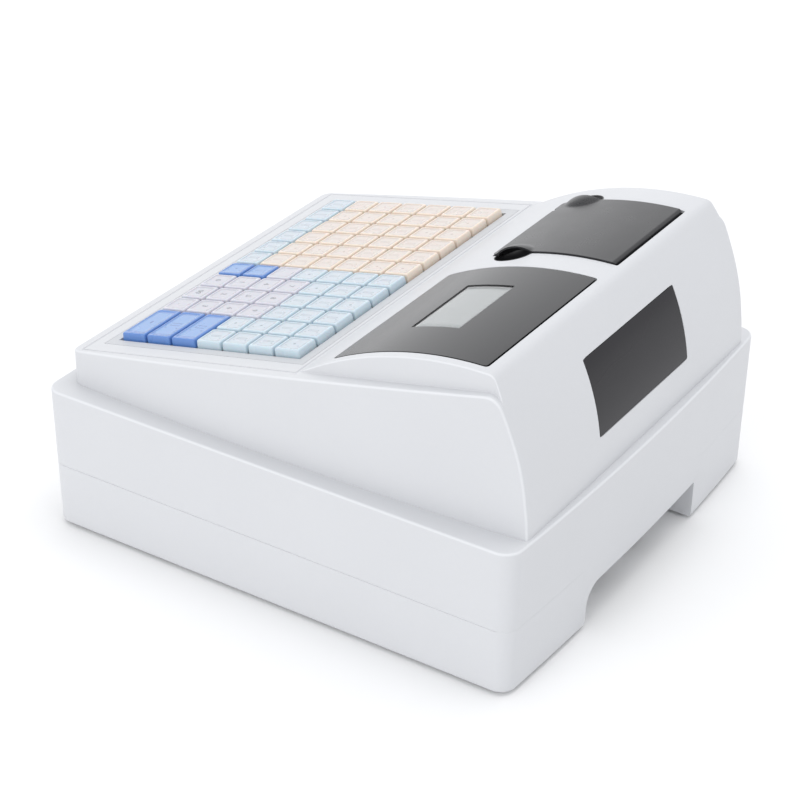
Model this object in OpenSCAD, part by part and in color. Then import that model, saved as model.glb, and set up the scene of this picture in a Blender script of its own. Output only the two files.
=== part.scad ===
// Electronic cash register with its keyboard, two displays and receipt printer in a wedge
// shaped shell, standing on a base that holds the cash drawer.
// Axes: X to the operator's right, Y from the operator to the customer, Z up, millimetres.
// Origin: centre of the footprint, at the underside of the rubber feet.

/* [Drawer base] */
// Width of the base at the rear
base_w_rear = 307; // [300:1:314]
// Width of the base at the front
base_w_front = 301; // [297:1:307]
// Depth of the base over its bowed rear
base_d = 332; // [328:1:338]
// Radius of the base's upright corners
base_corner_r = 11.5; // [9:0.5:12]
// How far the rear bows out at the middle
rear_bow = 4.5; // [2:0.5:6]
// Height of the seam between the two housings
seam_z = 43.6; // [42:0.2:46]
// Height of the base's top
base_top_z = 95.2; // [94:0.2:99]
// Wall thickness of the mouldings
wall = 3; // [2.6:0.1:3.2]
// Height of the rubber feet under the base
foot_h = 2; // [1.5:0.5:3]
// Diameter of a rubber foot
foot_d = 18; // [14:1:22]
// Width of the cable notch in the rear
notch_w = 138; // [128:1:142]
// Height of the cable notch above the feet
notch_top = 27.6; // [26:0.2:30]
// Depth of the cable notch behind the rear's middle
notch_depth = 29; // [26:1:30]
// Radius of the notch's upper corners
notch_r = 9; // [4:0.5:10]

/* [Upper shell] */
// Width of the shell at its front and rear
shell_w = 269.7; // [268:0.1:272]
// How far each side of the shell bows out
side_bow = 4.5; // [2:0.5:6]
// Ledge left on the base in front of the shell
front_ledge = 10.35; // [9:0.05:12]
// Ledge left on the base behind the shell
rear_ledge = 6; // [4:0.5:8]
// Height of the shell's front edge above the base
front_h = 21.8; // [20:0.1:24]
// Slope of the keyboard deck in degrees
deck_tilt = 11.75; // [11:0.25:12.5]
// Radius of the curved rear face
rear_arc_r = 143.4; // [140:0.2:147]
// Height of the upright part of the rear face
rear_upright = 7.1; // [6:0.1:9]
// Width of the raised hood
hood_w = 261; // [260:1:262]
// Radius of the hood's curved top
hood_arc_r = 205.5; // [203:0.5:210]
// Height of the hood's crest above the base
hood_h = 92; // [91:0.2:94]
// Distance of the crest in front of the shell's rear
hood_crest_in = 34.9; // [32:0.1:38]
// Rounding between the top and the rear face
brow_r = 6; // [5:0.5:8]
// Radius of the shell's upright corners
shell_corner_r = 6; // [5:0.5:8]

/* [Keyboard] */
// Distance between the centres of neighbouring keys in a row
key_pitch = 19.05; // [18.8:0.05:19.2]
// Gap between neighbouring keys
key_gap = 1.4; // [1.2:0.1:1.8]
// Height of a key's top above the deck
key_rise = 4.2; // [3.8:0.1:5]
// Height of a key's straight sides above the deck
key_shoulder = 3; // [2.4:0.1:3.4]
// Width of the bevel around a key's top
key_bevel = 0.9; // [0.6:0.1:1.4]
// How far a key goes down
key_travel = 2.4; // [2:0.1:2.6]
// Distance from the deck's front edge to the first row
key_margin = 22.8; // [20:0.1:24]
// Distance from the last row to the hood's foot
back_margin = 12; // [11:0.1:14]
// Margin of the key frame around the keys
frame_margin = 7; // [5:0.5:8]
// Distance of the deck's groove inside its edge
groove_in = 6.5; // [5:0.5:7]

/* [Displays] */
// Left edge of the operator display's lens
panel_x0 = 1.5; // [1:0.5:3]
// Width of the operator display's lens
panel_w = 122.8; // [118:0.2:123]
// Front edge of the lens behind the hood's crest
panel_reach = 98.3; // [94:0.1:99]
// Thickness of the smoked lenses
lens_t = 2.4; // [2:0.1:2.6]
// Width of the liquid crystal display
lcd_w = 60.6; // [56:0.2:64]
// Length of the liquid crystal display along the hood
lcd_l = 31; // [28:0.5:34]
// Width of the customer window
window_w = 108.8; // [100:0.2:112]
// Height of the customer window's lower edge above the base
window_low = 24.8; // [22:0.2:27]
// Height of the customer window's upper edge above the base
window_high = 70.2; // [66:0.2:71]

/* [Printer] */
// Right edge of the printer cover, left of the middle
cover_x1 = 19.5; // [18:0.1:21]
// Width of the printer cover
cover_w = 87; // [86:0.2:90]
// Front edge of the cover in front of the hood's crest
cover_reach = 81.2; // [80:0.1:83]
// Thickness of the printer cover below the hood's surface
cover_t = 2.6; // [2.2:0.1:2.8]
// How far the printer cover stands above the hood's surface
cover_rise = 1; // [0.6:0.1:1.2]
// Angle that the printer cover opens
cover_open = 85; // [70:1:85]
// Radius of the finger wells beside the cover
well_r = 13; // [11:0.5:13.5]
// Diameter of a full paper roll
roll_d = 58; // [50:1:58]
// Width of the paper roll
roll_w = 57.5; // [56:0.1:58]
// Radius of the platen roller
platen_r = 7; // [6.4:0.1:7.2]

/* [Cash drawer] */
// Margin beside the drawer's front panel
front_margin = 13.5; // [13.5:0.5:16]
// Height of the drawer's front panel
front_panel_h = 74.8; // [72:0.2:75]
// Room beside the steel tray for its rails and rollers
rail_room = 11; // [11:0.5:14]
// Room behind the steel tray for its latch
latch_room = 54; // [54:1:64]
// Height of the drawer's steel tray
tray_h = 66; // [62:1:66]
// How far the drawer opens
drawer_travel = 220; // [180:5:220]
// Radius of the drawer rollers
roller_r = 7; // [6:0.5:7]
// Number of note compartments
note_bays = 4; // [3:1:5]

/* [Hidden] */
$fn = 64;

white = [0.92, 0.93, 0.94];
smoke = [0.16, 0.15, 0.16];
deck_grey = [0.86, 0.87, 0.88];
steel = [0.70, 0.71, 0.73];
board_green = [0.10, 0.36, 0.22];
black = [0.08, 0.08, 0.09];
key_blue = [0.32, 0.50, 0.85];
key_sky = [0.70, 0.86, 0.95];
key_lilac = [0.85, 0.85, 0.93];
key_peach = [0.97, 0.84, 0.72];

// general clearances
gap = 0.3;            // between seated pieces
run = 0.05;           // radial running clearance of pins and shafts
over = 1;             // how far a cut runs past the surface it opens
far = 200;            // beyond the object on every side
arc_steps = 24;
corner_steps = 6;

// places that follow from the driving sizes
floor_z = foot_h + wall;
base_front_y = -base_d/2;
shell_front_y = base_front_y + front_ledge;
shell_rear_y = base_d/2 - rear_ledge;
rear_centre = [shell_rear_y - rear_arc_r, base_top_z + rear_upright];
hood_crest_y = shell_rear_y - hood_crest_in;
hood_centre = [hood_crest_y, base_top_z + hood_h - hood_arc_r];
deck_edge = [shell_front_y, base_top_z + front_h];
deck_along = [cos(deck_tilt), sin(deck_tilt)];
deck_up = [-sin(deck_tilt), cos(deck_tilt)];
deck_foot = deck_hit(hood_centre, hood_arc_r, 0, -1);
deck_l = norm(deck_foot - deck_edge);
key_cols = 12;
key_rows = 7;
row_pitch = (deck_l - key_margin - back_margin)/key_rows;
field_w = key_cols*key_pitch;
field_l = key_rows*row_pitch;
// the drawer fits the base's narrower end
base_w = min(base_w_front, base_w_rear);
front_t = 6;
front_w = base_w - 2*front_margin;
tray_w = front_w - 2*rail_room;
tray_d = base_d - front_t - latch_room;

// ---- outlines ----

// points of an arc around c from angle a0 to a1
function arc(c, r, a0, a1, n = corner_steps) =
    [for (i = [0:n]) let (a = a0 + (a1 - a0)*i/n) c + r*[cos(a), sin(a)]];

function angle_from(c, p) = atan2(p[1] - c[1], p[0] - c[0]);

// where a line parallel to the deck, a depth below it, meets a circle
function deck_hit(c, r, depth, side) =
    let (p = deck_edge - depth*deck_up, w = c - p)
    p + (w*deck_along + side*sqrt(r*r - pow(w*deck_up, 2)))*deck_along;

// upper meeting point of two circles
function circles_meet(a, ra, b, rb) =
    let (d = norm(b - a), u = (b - a)/d, s = (ra*ra - rb*rb + d*d)/(2*d))
    a + s*u + sqrt(ra*ra - s*s)*[-u[1], u[0]];

// outline of the base in plan: tapered sides, round corners and a bowed rear
function base_outline(inset) =
    let (
        front = base_w_front/2 - inset,
        rear = base_w_rear/2 - inset,
        r = base_corner_r - inset,
        y0 = base_front_y + inset,
        y1 = base_d/2 - rear_bow - inset,
        bow_w = rear - r
    )
    concat(
        arc([front - r, y0 + r], r, -90, 0),
        arc([rear - r, y1 - r], r, 0, 90),
        [for (i = [1:arc_steps - 1])
            let (x = bow_w*(1 - 2*i/arc_steps)) [x, y1 + rear_bow*(1 - pow(x/bow_w, 2))]],
        arc([r - rear, y1 - r], r, 90, 180),
        arc([r - front, y0 + r], r, 180, 270)
    );

// outline of the shell in plan: bowed sides and round corners
function shell_outline(inset) =
    let (
        w = shell_w/2 - inset,
        r = shell_corner_r - inset,
        y0 = shell_front_y + inset,
        y1 = shell_rear_y - inset + over,
        mid = (shell_front_y + shell_rear_y)/2,
        half = (y1 - y0)/2 - r,
        side = [for (i = [1:arc_steps - 1])
            let (t = 2*i/arc_steps - 1) [w + side_bow*(1 - t*t), mid + t*half]]
    )
    concat(
        arc([w - r, y0 + r], r, -90, 0),
        side,
        arc([w - r, y1 - r], r, 0, 90),
        arc([r - w, y1 - r], r, 90, 180),
        [for (i = [len(side) - 1:-1:0]) [-side[i][0], side[i][1]]],
        arc([r - w, y0 + r], r, 180, 270)
    );

// side view of the shell through the hood, as [y, z]
function hood_side(inset, low) =
    let (
        r = brow_r - inset/2,
        brow = circles_meet(rear_centre, rear_arc_r - inset - r, hood_centre, hood_arc_r - inset - r),
        a_rear = angle_from(rear_centre, brow),
        a_hood = angle_from(hood_centre, brow),
        foot = deck_hit(hood_centre, hood_arc_r - inset, inset, -1),
        front = deck_edge + (inset/cos(deck_tilt))*[0, -1] + inset*[1, tan(deck_tilt)]
    )
    concat(
        [[shell_front_y + inset, low], [shell_rear_y - inset, low]],
        arc(rear_centre, rear_arc_r - inset, 0, a_rear, arc_steps),
        arc(brow, r, a_rear, a_hood),
        arc(hood_centre, hood_arc_r - inset, a_hood, angle_from(hood_centre, foot), arc_steps),
        [front]
    );

// the space above the shell's shoulders beside the hood, as [y, z]
function shoulder_side(inset) =
    let (
        r = brow_r - inset/2,
        brow = deck_hit(rear_centre, rear_arc_r - inset - r, inset + r, 1),
        a_rear = angle_from(rear_centre, brow),
        foot = deck_hit(hood_centre, hood_arc_r - inset, inset, -1)
    )
    concat(
        [foot],
        arc(brow, r, 90 + deck_tilt, a_rear),
        [rear_centre + (rear_arc_r + far)*[cos(a_rear), sin(a_rear)], [foot[0], 2*far]]
    );

// ---- shape helpers ----

module block(x, y, z) {
    translate([x[0], y[0], z[0]]) cube([x[1] - x[0], y[1] - y[0], z[1] - z[0]]);
}

// a plan outline [x, y] raised from z0 to z1
module upright(outline, z0, z1) {
    translate([0, 0, z0]) linear_extrude(z1 - z0) polygon(outline);
}

// a side view outline [y, z] carried from x0 to x1
module sideways(outline, x0, x1) {
    translate([x0, 0, 0]) rotate([90, 0, 90]) linear_extrude(x1 - x0) polygon(outline);
}

// a front view outline [x, z] carried from y0 to y1
module frontways(outline, y0, y1) {
    translate([0, y1, 0]) rotate([90, 0, 0]) linear_extrude(y1 - y0) polygon(outline);
}

module x_rod(x, y, z, r) {
    translate([x[0], y, z]) rotate([0, 90, 0]) cylinder(r = r, h = x[1] - x[0]);
}

module y_rod(x, y, z, r) {
    translate([x, y[1], z]) rotate([90, 0, 0]) cylinder(r = r, h = y[1] - y[0]);
}

module both_sides() {
    children();
    mirror([1, 0, 0]) children();
}

// the keyboard deck's own frame: x across, y up the slope, z out of the deck
module on_deck() {
    translate([0, deck_edge[0], deck_edge[1]]) rotate([deck_tilt, 0, 0]) children();
}

// angle on the hood's arc above the point y
function hood_angle(y) = 90 + asin((hood_crest_y - y)/hood_arc_r);

function hood_z(y) = hood_centre[1] + sqrt(pow(hood_arc_r, 2) - pow(y - hood_crest_y, 2));

// angle on the rear arc at a height above the base
function rear_angle(h) = asin((h - rear_upright)/rear_arc_r);

// a sheet bent to an arc, between two depths below it
function bent_sheet(c, r, a0, a1, depth0, depth1) =
    concat(arc(c, r - depth0, a0, a1, arc_steps), arc(c, r - depth1, a1, a0, arc_steps));

module hood_sheet(x, y, depth) {
    sideways(bent_sheet(hood_centre, hood_arc_r, hood_angle(y[0]), hood_angle(y[1]), depth[0], depth[1]),
        x[0], x[1]);
}

module rear_sheet(x, h, depth) {
    sideways(bent_sheet(rear_centre, rear_arc_r, rear_angle(h[0]), rear_angle(h[1]), depth[0], depth[1]),
        x[0], x[1]);
}

// frames that lie on the hood and on the rear face, their z or y axis pointing out
module on_hood(y) {
    translate([0, hood_centre[0], hood_centre[1]]) rotate([hood_angle(y) - 90, 0, 0])
        translate([0, 0, hood_arc_r]) children();
}

module on_rear(h) {
    translate([0, rear_centre[0], rear_centre[1]]) rotate([rear_angle(h), 0, 0])
        translate([0, rear_arc_r, 0]) children();
}

// ---- base ----

foot_x = base_w_front/2 - 26;
foot_y = base_d/2 - 30;

module rubber_feet() {
    color(black)
    both_sides()
    for (y = [-foot_y, foot_y])
        translate([foot_x, y, 0]) cylinder(d = foot_d, h = foot_h);
}

// drawer opening in the front of the base
sill_z = foot_h + 8;
open_w = front_w + 1;
open_top = sill_z + front_panel_h + 1.2;
// the upper housing's tongue closes the rear above the notch
tongue_w = notch_w + 12;
notch_y = base_d/2 - notch_depth;

// posts that the case screws run through
post_r = 3.6;
screw_r = 1.5;
screw_clear_r = 1.7;
screw_head_r = 2.8;
screw_reach = 10;
front_post = [base_w_front/2 - 6.2, base_front_y + 17];
rear_post = [tongue_w/2 + 17, base_d/2 - 21];
posts = [front_post, rear_post];

function notch_outline(grow) =
    let (w = notch_w/2 + grow, r = notch_r + grow, top = notch_top + grow)
    concat(
        [[w, foot_h - over]],
        arc([w - r, top - r], r, 0, 90),
        arc([r - w, top - r], r, 90, 180),
        [[-w, foot_h - over]]
    );

// outer face of the drawer rails and the ribs that hold them
rail_x = front_w/2 + 2;
rail_t = 1.5;
rail_rib_y = [for (part = [0.11, 0.59, 0.98]) base_front_y + part*tray_d];

module lower_housing() {
    color(white)
    union() {
        difference() {
            union() {
                difference() {
                    upright(base_outline(0), foot_h, seam_z);
                    upright(base_outline(wall), floor_z, seam_z + over);
                }
                both_sides()
                for (p = posts)
                    translate([p[0], p[1], foot_h]) cylinder(r = post_r, h = seam_z - foot_h);
                intersection() {
                    both_sides()
                    for (y = rail_rib_y)
                        block([rail_x + rail_t, far], [y, y + wall], [foot_h + over, seam_z - over]);
                    upright(base_outline(wall/2), foot_h, seam_z);
                }
                intersection() {
                    frontways(notch_outline(wall), notch_y - wall, far);
                    upright(base_outline(wall/2), foot_h, seam_z);
                }
            }
            frontways(notch_outline(0), notch_y, far);
            difference() {
                block([-tongue_w/2, tongue_w/2], [notch_y, far], [notch_top, seam_z + over]);
                upright(base_outline(wall + gap), 0, far);
            }
            block([-open_w/2, open_w/2], [-far, base_front_y + 2*wall], [sill_z, seam_z + over]);
            both_sides()
            for (p = posts) {
                translate([p[0], p[1], foot_h - over])
                    cylinder(r = screw_head_r + gap, h = wall + over);
                translate([p[0], p[1], foot_h]) cylinder(r = screw_clear_r, h = seam_z);
            }
        }
        // seat of the ejecting spring on the notch's inner wall
        y_rod(spring_x, [notch_y - 2*wall, notch_y - wall], spring_z, spring_seat_r);
    }
}

cable_hole_r = 12;
cable_hole = [0, 60];

module upper_housing() {
    color(white)
    difference() {
        union() {
            difference() {
                upright(base_outline(0), seam_z, base_top_z);
                upright(base_outline(wall), seam_z - over, base_top_z - wall);
            }
            // tongue down to the notch
            intersection() {
                block([-tongue_w/2 + gap, tongue_w/2 - gap], [0, far], [notch_top + gap, base_top_z]);
                difference() {
                    upright(base_outline(0), notch_top + gap, base_top_z);
                    upright(base_outline(wall), 0, base_top_z);
                }
            }
            both_sides()
            for (p = posts)
                translate([p[0], p[1], seam_z]) cylinder(r = post_r, h = base_top_z - wall/2 - seam_z);
            // catch that the lock's cam turns up behind
            block([-catch_w/2, catch_w/2], [lock_end - wall - gap, lock_end - gap], [catch_z, base_top_z - wall/2]);
        }
        block([-open_w/2, open_w/2], [-far, base_front_y + 2*wall], [0, open_top]);
        both_sides()
        for (p = posts)
            translate([p[0], p[1], 0]) cylinder(r = screw_r + run, h = seam_z + screw_reach);
        translate([cable_hole[0], cable_hole[1], 0]) cylinder(r = cable_hole_r, h = far);
    }
}

module case_screws() {
    color(steel)
    both_sides()
    for (p = posts)
        translate([p[0], p[1], foot_h]) {
            translate([0, 0, gap]) cylinder(r = screw_head_r, h = wall - gap);
            translate([0, 0, wall - gap]) cylinder(r = screw_r, h = seam_z + screw_reach - foot_h - wall);
        }
}

// ---- shell ----

// the shell's outer form, or with an inset its hollow
module shell_form(inset, low) {
    difference() {
        intersection() {
            sideways(hood_side(inset, low), -far, far);
            upright(shell_outline(inset), low, far);
        }
        sideways(shoulder_side(inset), hood_w/2 - inset, far);
        sideways(shoulder_side(inset), -far, inset - hood_w/2);
    }
}

// the key frame lies in a shallow seat in the deck
frame_t = 1.6;
frame_w = field_w + 2*frame_margin;
frame_y = [key_margin - frame_margin, key_margin + field_l + frame_margin];
tray_wall = 1.6;
tray_x = field_w/2 + 1 + tray_wall;
tray_y = [key_margin - 1 - tray_wall, key_margin + field_l + 1 + tray_wall];
groove_w = 1.2;
groove_depth = 0.6;
groove_x = shell_w/2 - groove_in + 4;
groove_y = [groove_in, deck_l - 1.4];

module deck_cuts() {
    on_deck() {
        block([-frame_w/2 - gap, frame_w/2 + gap], [frame_y[0] - gap, frame_y[1] + gap], [-frame_t, over]);
        block([-tray_x - gap, tray_x + gap], [tray_y[0] - gap, tray_y[1] + gap], [-2*wall, over]);
        difference() {
            block([-groove_x, groove_x], groove_y, [-groove_depth, over/2]);
            block([groove_w - groove_x, groove_x - groove_w],
                [groove_y[0] + groove_w, groove_y[1] - groove_w], [-2*groove_depth, over]);
        }
    }
}

panel_x = [panel_x0, panel_x0 + panel_w];
panel_y = [hood_crest_y - panel_reach, hood_crest_y];
lcd_x = panel_x0 + 57.8;
lcd_y = hood_crest_y - 53.8;
sight = 4;            // how far the hole behind a lens runs past the display
seat_t = 1.8;         // wall left under a lens or the cover
seat_rim = 2;         // how far that wall runs past its edges

module panel_cuts() {
    hood_sheet([panel_x[0] - gap, panel_x[1] + gap], [panel_y[0] - gap, panel_y[1] + gap], [-over, lens_t]);
    hood_sheet([lcd_x - lcd_w/2 - sight, lcd_x + lcd_w/2 + sight],
        [lcd_y - lcd_l/2 - sight, lcd_y + lcd_l/2 + sight], [-over, 2*wall]);
}

window_h = [window_low, window_high];
window_lip = 5;

module window_cuts() {
    rear_sheet([-window_w/2 - gap, window_w/2 + gap], [window_h[0] - gap, window_h[1] + gap], [-over, lens_t]);
    rear_sheet([window_lip - window_w/2, window_w/2 - window_lip],
        [window_h[0] + window_lip, window_h[1] - window_lip], [-over, 2*wall]);
}

// cover over the printer bay, hinged near the hood's crest
cover_x = [-cover_x1 - cover_w, -cover_x1];
cover_y = [hood_crest_y - cover_reach, hood_crest_y - 0.6];
bay_lip = 3;
hinge_y = cover_y[1] - 2.4;
hinge_z = hood_z(hinge_y) - 3.2;
hinge_sweep_r = 5.2;
knuckle_r = 2.4;
hinge_pin_r = 1.2;
knuckle_w = 9;
knuckle_in = 6;
ear_w = 7;
well_y = cover_y[0] + 12.5;
well_floor = 7.6;     // depth of a finger well at its middle
well_wall = 1;
well_z = hood_z(well_y) - well_floor;
well_clear = 0.8;     // room for the cover as it swings past the cups

module bay_cuts() {
    hood_sheet([cover_x[0] - gap, cover_x[1] + gap], [cover_y[0] - gap, cover_y[1] + gap], [-over, cover_t + gap]);
    hood_sheet([cover_x[0] + bay_lip, cover_x[1] - bay_lip], [cover_y[0] + bay_lip, hinge_y], [-over, 2*wall]);
    x_rod([cover_x[0] - gap, cover_x[1] + gap], hinge_y, hinge_z, hinge_sweep_r);
    for (x = cover_x)
        translate([x, well_y, well_z - 2*well_wall]) cylinder(r = well_r + gap, h = far);
}

module register_shell() {
    color(white)
    difference() {
        union() {
            difference() {
                shell_form(0, base_top_z);
                shell_form(wall, base_top_z - over);
            }
            // thicker wall that the operator's lens and the printer cover are let into
            hood_sheet([panel_x[0] - seat_rim, panel_x[1] + seat_rim],
                [panel_y[0] - seat_rim, panel_y[1] + seat_rim], [wall/2, lens_t + seat_t]);
            hood_sheet([cover_x[0] - seat_rim, cover_x[1] + seat_rim],
                [cover_y[0] - seat_rim, cover_y[1]], [wall/2, cover_t + gap + seat_t]);
            // ears that hold the hinge pin
            intersection() {
                for (x = [cover_x[0] - gap - ear_w, cover_x[1] + gap])
                    block([x, x + ear_w], [hinge_y - 5, hinge_y + 5], [hinge_z - 4, far]);
                shell_form(wall/2, base_top_z);
            }
        }
        deck_cuts();
        panel_cuts();
        window_cuts();
        bay_cuts();
        x_rod([cover_x[0] - gap - ear_w - over, cover_x[1] + gap + ear_w + over], hinge_y, hinge_z, hinge_pin_r);
    }
}

// ---- keyboard ----

stem_w = 4.8;
guide_t = 2;
guide_depth = 4;      // depth of the guide plate under the deck
board_depth = 10.4;   // depth of the circuit board under the deck
board_t = 1.6;
key_skirt = 1.2;
stem_depth = board_depth - key_travel - 0.4;

function key_x(col) = field_w/2 - (col + 0.5)*key_pitch;
function key_y(row) = key_margin + (row + 0.5)*row_pitch;

// outline of a cap across its width: straight sides and a bevelled top
function cap_outline(w) = [
    [-w/2, -key_skirt], [w/2, -key_skirt], [w/2, key_shoulder],
    [w/2 - key_bevel, key_rise], [key_bevel - w/2, key_rise], [-w/2, key_shoulder]
];

// one cap, a number of cells wide, with the stem that guides it
module key_cap(cells) {
    w = cells*key_pitch - key_gap;
    l = row_pitch - key_gap;
    intersection() {
        frontways(cap_outline(w), -l/2, l/2);
        sideways(cap_outline(l), -w/2, w/2);
    }
    block([-stem_w/2, stem_w/2], [-stem_w/2, stem_w/2], [-stem_depth, -key_skirt/2]);
}

module keys(cols, rows) {
    on_deck()
    for (col = [cols[0]:cols[1]], row = [rows[0]:rows[1]])
        translate([key_x(col), key_y(row), 0]) key_cap(1);
}

module key_frame() {
    hole = stem_w + 2*gap;
    boss_x = field_w/2 - key_pitch;
    color(deck_grey)
    on_deck()
    difference() {
        union() {
            block([-frame_w/2, frame_w/2], frame_y, [-frame_t, 0]);
            block([-tray_x, tray_x], tray_y, [-guide_depth - guide_t, -frame_t/2]);
            both_sides()
            for (x = [key_pitch, boss_x], row = [1, 3, 5])
                translate([x, key_y(row) + row_pitch/2, -board_depth])
                    cylinder(r = 2.4, h = board_depth - guide_depth);
        }
        block([tray_wall - tray_x, tray_x - tray_wall], [tray_y[0] + tray_wall, tray_y[1] - tray_wall], [-guide_depth, over]);
        for (col = [2:key_cols - 1], row = [0:key_rows - 1])
            translate([key_x(col), key_y(row), -board_depth])
                block([-hole/2, hole/2], [-hole/2, hole/2], [0, board_depth]);
        for (col = [0, 1], row = [3:key_rows - 1])
            translate([key_x(col), key_y(row), -board_depth])
                block([-hole/2, hole/2], [-hole/2, hole/2], [0, board_depth]);
        for (row = [0:2])
            translate([key_x(0.5), key_y(row), -board_depth])
                block([-hole/2, hole/2], [-hole/2, hole/2], [0, board_depth]);
    }
}

module keyboard_board() {
    color(board_green)
    on_deck()
    block([-tray_x, tray_x], tray_y, [-board_depth - board_t, -board_depth]);
}

module wide_key(row) {
    color(key_blue)
    on_deck()
    translate([key_x(0.5), key_y(row), 0]) key_cap(2);
}

module side_keys() {
    color(key_sky) keys([0, 1], [3, 6]);
}

module upper_keys() {
    color(key_sky) keys([2, 4], [4, 6]);
}

module action_keys() {
    color(key_blue) keys([5, 5], [0, 1]);
}

module front_row_keys() {
    color(key_sky) {
        keys([6, 11], [0, 0]);
        keys([5, 5], [3, 6]);
    }
}

// the number pad's columns; the last takes in the key beside it
module number_keys(n) {
    color(key_lilac) {
        keys([5 - n, 5 - n], [0, 3]);
        if (n == 1)
            keys([5, 5], [2, 2]);
    }
}

module department_keys(n) {
    color(key_peach) keys([n + 5, n + 5], [1, 6]);
}

// ---- displays ----

module display_lens() {
    color(smoke) hood_sheet(panel_x, panel_y, [0, lens_t]);
}

display_rim = 3;
display_face = lens_t + 1.2;
display_body_t = 5;
display_board_t = 2;
display_peg_top = 1.6;

module operator_display() {
    rim = display_rim;
    color([0.70, 0.72, 0.70])
    on_hood(lcd_y)
    translate([lcd_x, 0, -display_face]) {
        block([-lcd_w/2 - rim, lcd_w/2 + rim], [-lcd_l/2 - rim, lcd_l/2 + rim], [-display_body_t, 0]);
        block([-lcd_w/2 - 3*rim, lcd_w/2 + 3*rim], [-lcd_l/2 - 3*rim, lcd_l/2 + 3*rim],
            [-display_body_t - display_board_t, -display_body_t]);
        both_sides()
        for (y = [-lcd_l/2 - 2.4*rim, lcd_l/2 + 1.4*rim])
            block([lcd_w/2 + 1.8*rim, lcd_w/2 + 2.8*rim], [y, y + rim], [-display_body_t, -display_peg_top]);
    }
}

module customer_window() {
    color(smoke) rear_sheet([-window_w/2, window_w/2], window_h, [0, lens_t]);
}

module customer_display() {
    rim = 3;
    face = lens_t + 1;
    body_t = 6;
    board = 1.6;
    half_w = window_w/2 - window_lip - 1;
    half_h = (window_high - window_low)/2 - window_lip - 2;
    color(black)
    on_rear((window_low + window_high)/2)
    translate([0, -face, 0]) {
        block([-half_w, half_w], [-body_t, 0], [-half_h, half_h]);
        block([-half_w - 2*rim, half_w + 2*rim], [-body_t - board, -body_t], [-half_h - 2*rim, half_h + 2*rim]);
        both_sides()
        for (z = [-half_h - 2*rim, half_h + rim])
            block([half_w + rim, half_w + 2*rim], [-body_t, -1.4], [z, z + rim]);
    }
}

// ---- printer ----

bay_mid = (cover_x[0] + cover_x[1])/2;
plate_t = 2;
plate_x = cover_w/2 - 0.5;     // outer face of the side plates from the bay's middle
plate_top = well_z - 3;
chassis_y = [cover_y[0] - 5, cover_y[1] + 5.5];
roll_y = chassis_y[1] - plate_t - roll_d/2 - 2;
roll_z = base_top_z + plate_t + roll_d/2 + 6;
platen_y = cover_y[0] + 11.4;
platen_z = plate_top - 10;
head_y = platen_y - platen_r - gap;
shaft_r = 2.5;
gear_module = 0.8;
platen_teeth = 24;
motor_teeth = 22;
motor_z = platen_z - gear_module*(platen_teeth + motor_teeth)/2;
motor_r = 10;
motor_shaft_r = 1.5;
gear_w = 4;
gear_x = bay_mid - plate_x - 1 - gear_w;
core_r = 6.5;
core_bore_r = 5;
core_w = roll_w + 2.5;

module printer_chassis() {
    spigot_r = core_bore_r - run;
    color([0.55, 0.56, 0.58])
    difference() {
        union() {
            both_sides_of(bay_mid) {
                block([plate_x - plate_t, plate_x], chassis_y, [base_top_z, plate_top]);
                x_rod([core_w/2 + gap, plate_x - plate_t/2], roll_y, roll_z, core_r + 1);
                x_rod([core_w/2 - 5, plate_x - plate_t/2], roll_y, roll_z, spigot_r);
            }
            block([bay_mid - plate_x, bay_mid + plate_x], chassis_y, [base_top_z, base_top_z + plate_t]);
            block([bay_mid - plate_x, bay_mid + plate_x], [chassis_y[0], chassis_y[0] + plate_t], [base_top_z, plate_top]);
            block([bay_mid - plate_x, bay_mid + plate_x], [chassis_y[1] - plate_t, chassis_y[1]], [base_top_z, plate_top]);
        }
        x_rod([-far, far], platen_y, platen_z, shaft_r + run);
        x_rod([gear_x, bay_mid], platen_y, motor_z, motor_shaft_r + 2);
    }
}

// repeats a piece drawn for the right side on both sides of x
module both_sides_of(x) {
    translate([x, 0, 0]) children();
    translate([x, 0, 0]) mirror([1, 0, 0]) children();
}

head_half_w = plate_x - plate_t - 6;
head_front = chassis_y[0] + plate_t;
head_heel = 3;
head_drop = 16;
head_half_h = 7;

module thermal_head() {
    color([0.30, 0.31, 0.33])
    sideways([
        [head_front, platen_z - head_drop], [head_front + head_heel, platen_z - head_drop],
        [head_y, platen_z - head_half_h], [head_y, platen_z + head_half_h],
        [head_front, platen_z + head_half_h]
    ], bay_mid - head_half_w, bay_mid + head_half_w);
}

motor_l = 22;
motor_x = [bay_mid - plate_x + plate_t, bay_mid - plate_x + plate_t + motor_l];

module printer_motor() {
    color([0.35, 0.36, 0.38])
    difference() {
        union() {
            x_rod(motor_x, platen_y, motor_z, motor_r);
            block([motor_x[0], motor_x[0] + 1.5], [platen_y - 7, platen_y + 7], [motor_z - motor_r - 3, motor_z + motor_r - 1]);
        }
        x_rod([motor_x[0] - over, motor_x[0] + 12], platen_y, motor_z, motor_shaft_r + run);
    }
}

// one involute tooth, as points from root to tip and back, centred on angle a
function tooth(teeth, a) =
    let (
        r = gear_module*teeth/2,
        base = r*cos(20),
        tip = r + 0.95*gear_module,
        root = r - 1.2*gear_module,
        play = 2.2/teeth,
        half = 90/teeth - play + (tan(20)*180/PI - 20),
        roll = [for (i = [0:3]) let (q = base + (tip - base)*i/3) [q, sqrt(pow(q/base, 2) - 1)]],
        flank = [for (p = roll) [p[0], half - (p[1]*180/PI - atan(p[1]))]]
    )
    concat(
        [[root, -half]],
        [for (p = flank) [p[0], -p[1]]],
        [for (i = [3:-1:0]) flank[i]],
        [[root, half]]
    );

function gear_outline(teeth) =
    [for (k = [0:teeth - 1]) for (p = tooth(teeth, 0))
        let (a = 360*k/teeth + p[1]) p[0]*[cos(a), sin(a)]];

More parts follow.
